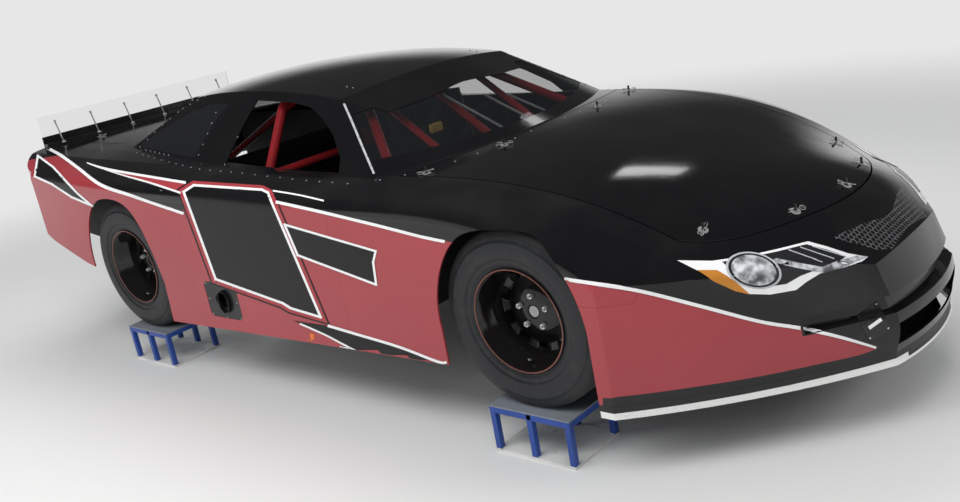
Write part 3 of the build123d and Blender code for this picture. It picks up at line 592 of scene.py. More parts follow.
@dataclass(frozen=True)
class Cloth(Finish):
    """Woven or knitted cover cloth."""

    colour: Colour
    thread: float = 0.0016

    def build(self, shader: Shader) -> Shader:
        """Fills the material's tree.

        Args:
            shader: The new material's shader.

        Returns:
            The same shader, filled.
        """
        x, y, z = shader.parts(shader.place())
        turns = 2 * math.pi / self.thread
        weave = ((x + z * 0.7) * turns).wave() * ((y - z * 0.7) * turns).wave()
        worn = shader.noise(8.0, 5.0).between(0.4, 0.8)
        lighter = tuple(min(1.0, part * 1.9 + 0.01) for part in self.colour)
        shader.set(Base_Color=shader.mix(worn * 0.5, self.colour, lighter), Roughness=0.82)
        return shader.set(Normal=shader.bump(weave, 0.0003), Sheen_Weight=0.25)


@dataclass(frozen=True)
class Plastic(Finish):
    """Moulded plastic with a fine pebble."""

    colour: Colour
    roughness: float = 0.45
    pebble: float = 0.0002

    def build(self, shader: Shader) -> Shader:
        """Fills the material's tree.

        Args:
            shader: The new material's shader.

        Returns:
            The same shader, filled.
        """
        grain = shader.noise(380.0, 3.0)
        smear = shader.noise(11.0, 4.0).between(0.4, 0.8)
        darker = scaled(self.colour, 0.8)
        shader.set(Base_Color=shader.mix(smear, self.colour, darker), Roughness=self.roughness + smear * 0.12)
        return shader.set(Normal=shader.bump(grain, self.pebble))


@dataclass(frozen=True)
class LensPrint(Finish):
    """Printed lamp film: cloudy bright streaks under a gloss layer."""

    dark: Colour = (0.03, 0.03, 0.035)
    bright: Colour = (0.78, 0.8, 0.83)

    def build(self, shader: Shader) -> Shader:
        """Fills the material's tree.

        Args:
            shader: The new material's shader.

        Returns:
            The same shader, filled.
        """
        x, y, z = shader.parts(shader.place())
        band = ((z * 95.0 + x * 20.0).wave() * 0.5 + 0.5) * shader.noise(22.0, 2.0)
        share = shader.noise(34.0, 4.0).between(0.35, 0.7) * 0.6 + band * 0.6
        shader.set(Base_Color=shader.mix(share, self.dark, self.bright), Roughness=0.14, Coat_Weight=0.7)
        return shader.set(Normal=shader.bump(share, 0.0002), Coat_Roughness=0.04)


@dataclass(frozen=True)
class LipPlastic(Plastic):
    """Flexible strip, white at the sides and along its top edge, black under the middle of the nose."""

    half: float = 0.235
    edge: float = 0.254
    rise: float = 0.017
    dark: Colour = (0.01, 0.01, 0.011)

    def build(self, shader: Shader) -> Shader:
        """Fills the material's tree.

        Args:
            shader: The new material's shader.

        Returns:
            The same shader, filled.
        """
        super().build(shader)
        _, y, z = shader.parts(shader.place())
        over = z.above(abs(y).above(self.half) * self.rise + self.edge)
        scrape = shader.noise(26.0, 5.0, (1, 1, 5)).between(0.6, 0.75)
        worn = shader.mix(scrape * 0.4, self.colour, scaled(self.colour, 0.5))
        return shader.set(Base_Color=shader.mix(over, worn, self.dark))


@dataclass(frozen=True)
class MeshPrint(Finish):
    """Printed six-sided mesh, light lines over black, laid out over the slope of the nose."""

    cell: float = 0.021
    wire: float = 0.085
    slope: float = 0.707
    ground: Colour = (0.008, 0.008, 0.009)
    line: Colour = (0.13, 0.13, 0.135)

    def cell_distance(self, u: Term, v: Term) -> Term:
        """How far each place is from the middle of its cell, in one of two sets of rows."""
        across, along = abs(u.modulo(1.0) - 0.5), abs(v.modulo(math.sqrt(3)) - math.sqrt(3) / 2)
        return across.high(across * 0.5 + along * (math.sqrt(3) / 2))

    def build(self, shader: Shader) -> Shader:
        """Fills the material's tree.

        Args:
            shader: The new material's shader.

        Returns:
            The same shader, filled.
        """
        x, y, z = shader.parts(shader.place())
        u, v = y * (1 / self.cell), (x - z) * (self.slope / self.cell)
        distance = self.cell_distance(u, v).low(self.cell_distance(u - 0.5, v - math.sqrt(3) / 2))
        wire = distance.between(0.5 - 1.5 * self.wire, 0.5 - self.wire)
        worn = shader.noise(40.0, 4.0).between(0.3, 0.75)
        shader.set(
            Base_Color=shader.mix(wire * (worn * 0.6 + 0.4), self.ground, self.line),
            Roughness=0.22 + wire * 0.2
        )
        return shader.set(Normal=shader.bump(wire, 0.0006), Coat_Weight=0.2, Coat_Roughness=0.06)


RED: Colour = (0.36, 0.045, 0.055)
BLACK: Colour = (0.006, 0.006, 0.007)
WHITE: Colour = (0.8, 0.8, 0.8)
TAIL_EDGE = ((-2.45, 1.05), (-2.36, 1.1))
TAIL_LINE = ((44.5, 147), (60, 155), (78, 168), (101, 185), (130, 195), (150, 202), (184, 213.5))
DOOR_LINE = ((276, 202), (324, 212.5), (380, 226), (419, 236), (445, 241.5))
FENDER_LINE = ((1.089, 0.852), (1.3, 0.83))
NOSE_LINE = (
    (554, 277), (590, 283), (640, 291), (700, 306), (760, 321.5), (800, 328), (840, 337), (876, 347.5)
)
NOSE_FLOOR = ((603, 398), (640, 394.5), (701, 386), (762, 376), (824, 363), (860, 355), (877, 348.5))
BLACK_PAINT = GlossPaint("black_gloss_paint", BLACK, 0.06, 0.015)
WHITE_FILM = StripeFilm("white_stripe_film", WHITE)
BLACK_FILM = StripeFilm("black_stripe_film", (0.008, 0.008, 0.009))
RED_FILM = StripeFilm("red_stripe_film", RED)
AMBER_FILM = StripeFilm("amber_lamp_film", (0.5, 0.2, 0.03))
LAMP_FILM = LensPrint("lamp_print_film")
LAMP_DARK = StripeFilm("dark_lamp_film", (0.02, 0.02, 0.022), Level.GLOSS)
LAMP_SILVER = StripeFilm("silver_lamp_film", (0.45, 0.46, 0.48), Level.GLOSS)
LIP_PLASTIC = LipPlastic("white_lip_plastic", (0.76, 0.76, 0.74))
MESH_PRINT = MeshPrint("mesh_print_film")
BANNER = GlossPaint("sun_strip_film", (0.006, 0.006, 0.007), 0.12, 0.02)
# Near-black inner sheet for the floor pan, firewall and rear bulkhead, darkened from bare sheet as painted
# shade inside the car.
SHADED_INNER_SHEET = Plastic("black_inner_sheet", (0.018, 0.018, 0.02), 0.5)
ORANGE_FILM = StripeFilm("orange_mark_film", (0.75, 0.18, 0.03))
# Matt near-black sheet used as painted shade: behind the nose slot and, in part, in the rear wheel tubs.
SHADE_BLACK = Plastic("matt_black_inner_sheet", (0.01, 0.01, 0.011), 0.7)
BRASS = BareMetal("yellow_passivated_bracket", (0.62, 0.45, 0.12), 0.3, (4, 4, 4), 0.3)
CAGE_RED = PowderCoat("dark_red_powder_coat", (0.24, 0.012, 0.016), 0.2)
FRAME_BLACK = PowderCoat("black_chassis_coat", (0.012, 0.012, 0.013))
STAND_BLUE = PowderCoat("blue_stand_paint", (0.02, 0.065, 0.3), 0.35, 0.8)
STAND_TOP = PowderCoat("worn_grey_stand_plate", (0.2, 0.22, 0.25), 0.4)
STAND_BASE = PowderCoat("white_base_paint", (0.68, 0.68, 0.66), 0.5, 0.7)
RIM_BLACK = GlossPaint("gloss_black_wheel_coat", (0.008, 0.007, 0.007), 0.07, 0.02)
# Reddish lip colour is a painted reflection of the red body paint on the rim's rolled edge.
RIM_LIP_RED_REFLECTION = BareMetal("copper_tinted_wheel_lip", (0.36, 0.13, 0.1), 0.18, (8, 8, 8), 0.3)
CHROME = BareMetal("bright_plated_steel", (0.72, 0.72, 0.73), 0.12, (6, 6, 6), 0.15)
STEEL = BareMetal("machined_steel", (0.4, 0.4, 0.41))
SHEET_METAL = BareMetal("bare_aluminium_sheet", (0.6, 0.61, 0.62), 0.34, (1, 30, 30))
IRON = PowderCoat("painted_engine_iron", (0.05, 0.05, 0.052), 0.5, 0.9)
CLEAR = ClearSheet("clear_polycarbonate")
CLEAR_DARK = ClearSheet("tinted_polycarbonate", (0.018, 0.019, 0.022), 0.6)
TYRE = Rubber("slick_tyre_rubber")
SEAT_CLOTH = Cloth("black_seat_cloth", (0.014, 0.014, 0.015))
STRAP = Cloth("black_harness_webbing", (0.02, 0.02, 0.022), 0.0024)
GRIP = Plastic("steering_grip_foam", (0.02, 0.02, 0.021), 0.7, 0.0006)
DASH = Plastic("black_dash_panel", (0.016, 0.016, 0.017), 0.4)
DIAL = Plastic("pale_dial_face", (0.6, 0.6, 0.58), 0.3)
HEAT = BareMetal("heat_tinted_pipe", (0.3, 0.24, 0.2), 0.35, (4, 4, 4), 0.7)


# meshes


def placed(name: str, mesh: bpy.types.Mesh) -> Piece:
    """Puts a mesh in the scene.

    Args:
        name: The piece's name.
        mesh: Its mesh.

    Returns:
        The piece.
    """
    made = bpy.data.objects.new(name, mesh)
    bpy.context.scene.collection.objects.link(made)
    return made


def shaped(name: str, work: bmesh.types.BMesh, finish: Finish) -> bpy.types.Mesh:
    """Ends a mesh under construction and gives it its finish.

    Args:
        name: The mesh's name.
        work: The mesh under construction, which is freed.
        finish: Its finish.

    Returns:
        The mesh.
    """
    mesh = bpy.data.meshes.new(name)
    work.to_mesh(mesh)
    work.free()
    mesh.materials.append(finish.material())
    return mesh


def new_piece(
    name: str, verts: Iterable[Point], faces: Iterable[Sequence[int]], finish: Finish, smooth: bool = True
) -> Piece:
    """Makes an object from points and faces, with one finish.

    Args:
        name: The piece's name.
        verts: Its points.
        faces: Its faces, as numbers of points.
        finish: Its finish.
        smooth: Whether it is shaded smooth.

    Returns:
        The piece.
    """
    mesh = bpy.data.meshes.new(name)
    mesh.from_pydata([tuple(v) for v in verts], [], [tuple(f) for f in faces])
    mesh.materials.append(finish.material())
    mesh.update()
    if smooth:
        mesh.shade_smooth()
    return placed(name, mesh)


def settle(piece: Piece, body: Body | str, replaces: Sequence[str] = ()) -> Piece:
    """Puts a piece on its body and the nodes that it stands for, and reports it.

    Args:
        piece: The piece.
        body: The body that carries it.
        replaces: The nodes that it stands for.

    Returns:
        The same piece.
    """
    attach(piece, body.value if isinstance(body, Body) else body)
    if replaces:
        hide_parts(*replaces)
    LOG.info("%s: %d faces", piece.name, len(piece.data.polygons))
    return piece


def recalculated(piece: Piece, merge: float = 1e-6) -> Piece:
    """Merges doubles and turns every face outwards.

    Args:
        piece: The piece.
        merge: How close two points are to be one.

    Returns:
        The same piece.
    """
    work = bmesh.new()
    work.from_mesh(piece.data)
    bmesh.ops.remove_doubles(work, verts=work.verts, dist=merge)
    bmesh.ops.recalc_face_normals(work, faces=work.faces)
    work.to_mesh(piece.data)
    work.free()
    return piece


def join(name: str, pieces: Sequence[Piece]) -> Piece:
    """Joins pieces into one mesh, keeping each one's material.

    Args:
        name: The joined piece's name.
        pieces: The pieces, which are removed.

    Returns:
        The joined piece.
    """
    verts: list[Point] = []
    faces: list[tuple[int, ...]] = []
    slots: list[int] = []
    smooth: list[bool] = []
    materials: list[bpy.types.Material] = []
    for piece in pieces:
        start = len(verts)
        own = [m for m in piece.data.materials]
        for material in own:
            if material not in materials:
                materials.append(material)
        verts += [tuple(v.co) for v in piece.data.vertices]
        for polygon in piece.data.polygons:
            faces.append(tuple(start + i for i in polygon.vertices))
            slots.append(materials.index(own[polygon.material_index]))
            smooth.append(polygon.use_smooth)
    mesh = bpy.data.meshes.new(name)
    mesh.from_pydata(verts, [], faces)
    for material in materials:
        mesh.materials.append(material)
    mesh.polygons.foreach_set("material_index", slots)
    mesh.polygons.foreach_set("use_smooth", smooth)
    mesh.update()
    for piece in pieces:
        bpy.data.objects.remove(piece)
    return placed(name, mesh)


def reflected(piece: Piece, name: str) -> Piece:
    """A copy on the car's other side.

    Args:
        piece: The piece.
        name: The copy's name.

    Returns:
        The copy.
    """
    copy = piece.copy()
    copy.data = piece.data.copy()
    copy.name = name
    copy.data.transform(Matrix.Scale(-1, 4, (0, 1, 0)))
    copy.data.flip_normals()
    bpy.context.scene.collection.objects.link(copy)
    return copy


def both(piece: Piece) -> Piece:
    """A piece joined with its copy on the other side."""
    return join(piece.name, [piece, reflected(piece, piece.name + "_other")])


def lathe(name: str, profile: Sequence[Flat], finish: Finish, turns: int = 96, closed: bool = True) -> Piece:
    """Turns a profile of (along, radius) about +X, with a UV map of turn and profile share.

    Args:
        name: The piece's name.
        profile: The profile's corners.
        finish: Its finish.
        turns: How many faces go round.
        closed: Whether the profile's end joins its start.

    Returns:
        The turned piece.
    """
    count = len(profile)
    verts = [
        (along, radius * math.cos(2 * math.pi * t / turns), radius * math.sin(2 * math.pi * t / turns))
        for t in range(turns)
        for along, radius in profile
    ]
    steps = count if closed else count - 1
    faces, shares = [], []
    for t in range(turns):
        for p in range(steps):
            q, n = (p + 1) % count, (t + 1) % turns
            faces.append((t * count + p, n * count + p, n * count + q, t * count + q))
            left, right, low, high = t / turns, (t + 1) / turns, p / steps, (p + 1) / steps
            shares.append(((left, low), (right, low), (right, high), (left, high)))
    made = new_piece(name, verts, faces, finish)
    layer = made.data.uv_layers.new(name="turned")
    for polygon, corners in zip(made.data.polygons, shares):
        for loop, corner in zip(polygon.loop_indices, corners):
            layer.data[loop].uv = corner
    return recalculated(made)


def rounded_path(points: Sequence[Point], bend: float, steps: int = 6) -> list[Vector]:
    """A polyline with each inner corner rounded.

    Args:
        points: The polyline's corners.
        bend: How far from a corner its rounding starts.
        steps: How many pieces make a rounding.

    Returns:
        The rounded path.
    """
    corners = [Vector(p) for p in points]
    path = [corners[0]]
    for before, corner, after in zip(corners, corners[1:], corners[2:]):
        reach = min(bend, (before - corner).length / 2.2, (after - corner).length / 2.2)
        start = corner + (before - corner).normalized() * reach
        end = corner + (after - corner).normalized() * reach
        for s in range(steps + 1):
            t = s / steps
            path.append(start * (1 - t) ** 2 + corner * 2 * t * (1 - t) + end * t**2)
    return path + [corners[-1]]


def tube(
    name: str, points: Sequence[Point], radius: float, finish: Finish, bend: float = 0.0, sides: int = 12
) -> Piece:
    """A capped round tube along a path.

    Args:
        name: The piece's name.
        points: The path's corners.
        radius: The tube's radius.
        finish: Its finish.
        bend: How far from a corner the tube starts to turn.
        sides: How many faces go round.

    Returns:
        The tube.
    """
    path = rounded_path(points, bend) if bend else [Vector(p) for p in points]
    verts: list[Vector] = []
    faces: list[tuple[int, ...]] = []
    side = None
    for i, place in enumerate(path):
        ahead = (path[min(i + 1, len(path) - 1)] - path[max(i - 1, 0)]).normalized()
        side = ahead.orthogonal() if side is None else side - ahead * side.dot(ahead)
        side.normalize()
        other = ahead.cross(side)
        for s in range(sides):
            turn = 2 * math.pi * s / sides
            verts.append(place + (side * math.cos(turn) + other * math.sin(turn)) * radius)
        if i:
            base, here = (i - 1) * sides, i * sides
            faces += [
                (base + s, base + (s + 1) % sides, here + (s + 1) % sides, here + s) for s in range(sides)
            ]
    last = (len(path) - 1) * sides
    faces += [tuple(reversed(range(sides))), tuple(range(last, last + sides))]
    made = new_piece(name, verts, faces, finish)
    for cap in made.data.polygons[-2:]:
        cap.use_smooth = False
    return made


def block(
    name: str, low: Point, high: Point, finish: Finish, bevel: float = 0.003, turn: Matrix | None = None
) -> Piece:
    """A box with rounded edges, turned about its centre if a turn is given.

    Args:
        name: The piece's name.
        low: The corner with the smallest numbers.
        high: The corner with the greatest numbers.
        finish: Its finish.
        bevel: How far its edges are rounded.
        turn: The turn about its centre.

    Returns:
        The block.
    """
    work = bmesh.new()
    bmesh.ops.create_cube(work, size=1.0)
    size = Vector(high) - Vector(low)
    middle = (Vector(high) + Vector(low)) / 2
    bmesh.ops.scale(work, vec=size, verts=work.verts)
    bmesh.ops.bevel(
        work, geom=list(work.edges), offset=min(bevel, min(size) * 0.45), segments=2, affect="EDGES",
        profile=0.6
    )
    place = Matrix.Translation(middle) @ (turn.to_4x4() if turn else Matrix.Identity(4))
    bmesh.ops.transform(work, matrix=place, verts=work.verts)
    return placed(name, shaped(name, work, finish))


def moved(piece: Piece, matrix: Matrix) -> Piece:
    """Moves a piece within its mesh.

    Args:
        piece: The piece.
        matrix: The move.

    Returns:
        The same piece.
    """
    piece.data.transform(matrix)
    if matrix.determinant() < 0:
        piece.data.flip_normals()
    return piece


def stood(place: Vector, normal: Vector) -> Matrix:
    """What turns a part made about +X onto a normal at a place."""
    return Matrix.Translation(place) @ normal.to_track_quat("X", "Z").to_matrix().to_4x4()


def applied(piece: Piece) -> Piece:
    """Makes a piece's modifiers part of its mesh.

    Args:
        piece: The piece.

    Returns:
        The same piece, with no modifiers.
    """
    graph = bpy.context.evaluated_depsgraph_get()
    mesh = bpy.data.meshes.new_from_object(piece.evaluated_get(graph), depsgraph=graph)
    piece.modifiers.clear()
    piece.data = mesh
    return piece


# the car's skin as something to lay pieces on


@dataclass(frozen=True)
class Viewpoint:
    """Where the photograph was taken from."""

    place: Point = (3.5756, -3.4662, 1.8482)
    right: Point = (0.75155, 0.63709, -0.17114)
    up: Point = (-0.06504, 0.32973, 0.94183)
    back: Point = (0.65646, -0.69671, 0.28924)

    def direction(self, pixel: Pixel) -> Vector:
        """The line of sight through a pixel of the frame.

        Args:
            pixel: The pixel.

        Returns:
            The direction, one metre long.
        """
        across = (pixel[0] - FRAME_WIDTH / 2) / FOCAL_PIXELS
        down = (pixel[1] - FRAME_HEIGHT / 2) / FOCAL_PIXELS
        return (Vector(self.right) * across - Vector(self.up) * down - Vector(self.back)).normalized()

    def matrix(self) -> Matrix:
        """The camera's place and turn."""
        turn = Matrix((self.right, self.up, self.back)).transposed()
        return Matrix.Translation(self.place) @ turn.to_4x4()


class Skin:
    """The outer faces of some nodes, found by lines of sight or straight lines."""

    def __init__(self, frame: dict, nodes: Sequence[str]) -> None:
        """Gathers the nodes' triangles.

        Args:
            frame: The loaded frame.
            nodes: The names of its nodes.
        """
        verts: list[Vector] = []
        faces: list[tuple[int, ...]] = []
        for name in nodes:
            mesh = frame["nodes"][name].data
            start = len(verts)
            verts += [v.co.copy() for v in mesh.vertices]
            mesh.calc_loop_triangles()
            faces += [tuple(start + i for i in t.vertices) for t in mesh.loop_triangles]
        self.tree = BVHTree.FromPolygons(verts, faces)
        self.view = Viewpoint()

    def hit(self, start: Vector, direction: Vector) -> Spot:
        """The first surface along a line, or the nearest one to its closest pass.

        Args:
            start: Where the line starts.
            direction: Its direction.

        Returns:
            The place and the outward normal.
        """
        place, normal, _, _ = self.tree.ray_cast(start, direction)
        if place is None:
            place, normal, _, _ = self.tree.find_nearest(start + direction * (start.length * 0.9))
        if normal.dot(direction) > 0:
            normal = -normal
        return place, normal

    def sighted(self, pixel: Pixel) -> Spot:
        """The surface behind a pixel of the frame."""
        return self.hit(Vector(self.view.place), self.view.direction(pixel))

    def from_side(self, place: Flat) -> Spot:
        """The surface on the right side at a place along the car and a height."""
        return self.hit(Vector((place[0], -3.0, place[1])), Vector((0, 1, 0)))

    def from_front(self, place: Flat) -> Spot:
        """The surface seen from the front at a place across the car and a height."""
        return self.hit(Vector((4.0, place[0], place[1])), Vector((-1, 0, 0)))

    def from_above(self, place: Flat) -> Spot:
        """The surface under a place seen from above."""
        return self.hit(Vector((place[0], place[1], 3.0)), Vector((0, 0, -1)))


def drape(
    name: str, outline: Sequence[Flat], cast: Caster, finish: Finish, step: float, lift: float = FILM
) -> Piece:
    """Lays a flat outline on the skin.

    Args:
        name: The piece's name.
        outline: The outline in the plane that the caster reads.
        cast: Gives the skin's place and normal for a point of that plane.
        finish: Its finish.
        step: The spacing of the cuts that let it follow the skin.
        lift: How far it stands off the skin.

    Returns:
        The draped piece.
    """
    work = bmesh.new()
    work.faces.new([work.verts.new((x, y, 0)) for x, y in outline])
    bmesh.ops.triangulate(work, faces=work.faces[:])
    for axis in (0, 1):
        low, high = min(p[axis] for p in outline), max(p[axis] for p in outline)
        normal = Vector((1, 0, 0)) if axis == 0 else Vector((0, 1, 0))
        for cut in range(math.ceil(low / step), math.floor(high / step) + 1):
            geometry = work.verts[:] + work.edges[:] + work.faces[:]
            bmesh.ops.bisect_plane(
                work, geom=geometry, dist=step * 1e-4, plane_co=normal * cut * step, plane_no=normal
            )
    for vert in work.verts:
        place, outward = cast((vert.co.x, vert.co.y))
        vert.co = place + outward * lift
    work.normal_update()
    bmesh.ops.triangulate(work, faces=[f for f in work.faces if len(f.verts) > 4])
    facing = sum((f.normal * f.calc_area() for f in work.faces), Vector())
    _, outward = cast(outline[0])
    if facing.dot(outward) < 0:
        bmesh.ops.reverse_faces(work, faces=work.faces)
    mesh = shaped(name, work, finish)
    mesh.shade_smooth()
    return placed(name, mesh)


def ribbon(line: Sequence[Flat], width: float | Sequence[float]) -> list[Flat]:
    """The outline of a stripe of some width along a line.

    Args:
        line: The line's corners.
        width: The stripe's width, or one for each corner.

    Returns:
        The outline.
    """
    widths = [width] * len(line) if isinstance(width, (int, float)) else list(width)
    left, right = [], []
    for i, (x, y) in enumerate(line):
        x0, y0 = line[max(i - 1, 0)]
        x1, y1 = line[min(i + 1, len(line) - 1)]
        length = math.hypot(x1 - x0, y1 - y0)
        nx, ny = -(y1 - y0) / length * widths[i] / 2, (x1 - x0) / length * widths[i] / 2
        left.append((x + nx, y + ny))
        right.append((x - nx, y - ny))
    return left + right[::-1]


def eased(before: float, start: float, end: float, after: float, t: float) -> float:
    """A smooth curve's value at a share of the way from a start to an end."""
    bent = 2 * start + (end - before) * t + (2 * before - 5 * start + 4 * end - after) * t * t
    return 0.5 * (bent + (3 * start - before - 3 * end + after) * t**3)


def smooth_line(points: Sequence[Flat], steps: int = 6) -> list[Flat]:
    """A smooth line through some points.

    Args:
        points: The points.
        steps: How many pieces join two points.

    Returns:
        The line's corners.
    """
    if len(points) < 3:
        return list(points)
    ends = [points[0], *points, points[-1]]
    line = []
    for a, b, c, d in zip(ends, ends[1:], ends[2:], ends[3:]):
        for s in range(steps):
            line.append(tuple(eased(*near, s / steps) for near in zip(a, b, c, d)))
    return line + [points[-1]]


# geometry nodes


class GeometryTree:
    """A Geometry Nodes tree under construction, with named sizes."""

    def __init__(self, name: str, sizes: dict[str, float]) -> None:
        """Starts a tree that takes a mesh and these sizes.

        Args:
            name: The tree's name.
            sizes: Its named sizes and their values.
        """
        self.group = bpy.data.node_groups.new(name, "GeometryNodeTree")
        self.sizes = sizes
        face = self.group.interface
        face.new_socket(name="Geometry", in_out="INPUT", socket_type="NodeSocketGeometry")
        self.keys = {}
        for size in sizes:
            self.keys[size] = face.new_socket(
                name=size, in_out="INPUT", socket_type="NodeSocketFloat"
            ).identifier
        face.new_socket(name="Geometry", in_out="OUTPUT", socket_type="NodeSocketGeometry")
        self.start = self.group.nodes.new("NodeGroupInput")
        self.end = self.group.nodes.new("NodeGroupOutput")

    def size(self, name: str) -> bpy.types.NodeSocket:
        """The socket of one named size."""
        return self.start.outputs[name]

    def node(self, kind: str, settings: dict | None = None, inputs: dict | None = None) -> bpy.types.Node:
        """Adds a node, its properties and its inputs.

        Args:
            kind: The node's type.
            settings: Its properties.
            inputs: Values or links by socket name or number.

        Returns:
            The node.
        """
        made = self.group.nodes.new(kind)
        for key, value in (settings or {}).items():
            setattr(made, key, value)
        for key, value in (inputs or {}).items():
            if isinstance(value, bpy.types.NodeSocket):
                self.group.links.new(value, made.inputs[key])
            else:
                made.inputs[key].default_value = value
        return made

    def stand_up(self, shape: bpy.types.NodeSocket, finish: Finish, smooth: bool = True) -> None:
        """Sets a shape on every point, upright on the point's own direction, as plain mesh with a finish.

        Args:
            shape: The shape that is repeated.
            finish: Its finish.
            smooth: Whether it is shaded smooth.
        """
        way = self.node("GeometryNodeInputNamedAttribute", {"data_type": "FLOAT_VECTOR"}, {"Name": "way"})
        turn = self.node("FunctionNodeAlignRotationToVector", {"axis": "Z"}, {"Vector": way.outputs[0]})
        spread = self.node(
            "GeometryNodeInstanceOnPoints", None,
            {"Points": self.start.outputs[0], "Instance": shape, "Rotation": turn.outputs[0]}
        )
        self.close(spread.outputs[0], finish, smooth)

    def close(self, shape: bpy.types.NodeSocket, finish: Finish, smooth: bool = True) -> None:
        """Realizes a shape, gives it its finish and ends the tree.

        Args:
            shape: The shape.
            finish: Its finish.
            smooth: Whether it is shaded smooth.
        """
        real = self.node("GeometryNodeRealizeInstances", None, {0: shape})
        shade = self.node("GeometryNodeSetShadeSmooth", None, {0: real.outputs[0], "Shade Smooth": smooth})
        dress = self.node(
            "GeometryNodeSetMaterial", None, {"Geometry": shade.outputs[0], "Material": finish.material()}
        )
        self.group.links.new(dress.outputs[0], self.end.inputs[0])

    def grow(self, name: str, places: Sequence[Spot]) -> Piece:
        """Runs the tree on some points and their directions, and returns the plain mesh.

        Args:
            name: The piece's name.
            places: The points and their directions.

        Returns:
            The piece.
        """
        mesh = bpy.data.meshes.new(name + "_points")
        mesh.from_pydata([tuple(p) for p, _ in places], [], [])
        way = mesh.attributes.new("way", "FLOAT_VECTOR", "POINT")
        way.data.foreach_set("vector", [c for _, n in places for c in n])
        seed = placed(name + "_points", mesh)
        modifier = seed.modifiers.new("tree", "NODES")
        modifier.node_group = self.group
        for size, key in self.keys.items():
            modifier[key] = self.sizes[size]
        graph = bpy.context.evaluated_depsgraph_get()
        plain = bpy.data.meshes.new_from_object(seed.evaluated_get(graph), depsgraph=graph)
        bpy.data.objects.remove(seed)
        return placed(name, plain)


def rivet_tree(name: str, radius: float, height: float, finish: Finish) -> GeometryTree:
    """Domed rivet heads.

    Args:
        name: The tree's name.
        radius: A head's radius.
        height: How far a head stands up.
        finish: Its finish.

    Returns:
        The tree.
    """
    tree = GeometryTree(name, {"Head Radius": radius, "Head Height": height})
    ball = tree.node(
        "GeometryNodeMeshUVSphere", None, {"Segments": 10, "Rings": 6, "Radius": tree.size("Head Radius")}
    )
    share = tree.node(
        "ShaderNodeMath", {"operation": "DIVIDE"}, {0: tree.size("Head Height"), 1: tree.size("Head Radius")}
    )
    scale = tree.node("ShaderNodeCombineXYZ", None, {0: 1.0, 1: 1.0, 2: share.outputs[0]})
    flat = tree.node("GeometryNodeTransform", None, {"Geometry": ball.outputs[0], "Scale": scale.outputs[0]})
    tree.stand_up(flat.outputs[0], finish)
    return tree


def nut_tree(name: str, radius: float, length: float, finish: Finish) -> GeometryTree:
    """Six-sided nuts or bolt heads that stand on their points.

    Args:
        name: The tree's name.
        radius: A nut's radius over its corners.
        length: Its length.
        finish: Its finish.

    Returns:
        The tree.
    """
    tree = GeometryTree(name, {"Nut Radius": radius, "Nut Length": length})
    sizes = {"Radius Bottom": tree.size("Nut Radius"), "Depth": tree.size("Nut Length")}
    nut = tree.node("GeometryNodeMeshCone", None, {"Vertices": 6, "Radius Top": radius * 0.82, **sizes})
    tree.stand_up(nut.outputs[0], finish, False)
    return tree


def spaced(line: Sequence[Flat], cast: Caster, gap: float) -> list[Spot]:
    """Places on the skin along a line, a gap apart.

    Args:
        line: The line's corners.
        cast: Gives the skin's place and normal for a point.
        gap: The gap along the skin.

    Returns:
        The places and their normals.
    """
    samples = []
    for (x0, y0), (x1, y1) in zip(line, line[1:]):
        samples += [cast((x0 + (x1 - x0) * s / 24, y0 + (y1 - y0) * s / 24)) for s in range(24)]
    samples.append(cast(line[-1]))
    places, run = [samples[0]], 0.0
    for (before, _), (here, normal) in zip(samples, samples[1:]):
        run += (here - before).length
        if run >= gap:
            places.append((here, normal))
            run = 0.0
    return places


def other_side(places: Sequence[Spot]) -> list[Spot]:
    """The places and their reflections on the car's other side."""
    flip = Vector((1, -1, 1))
    return [*places, *[(p * flip, n * flip) for p, n in places]]


# the studio


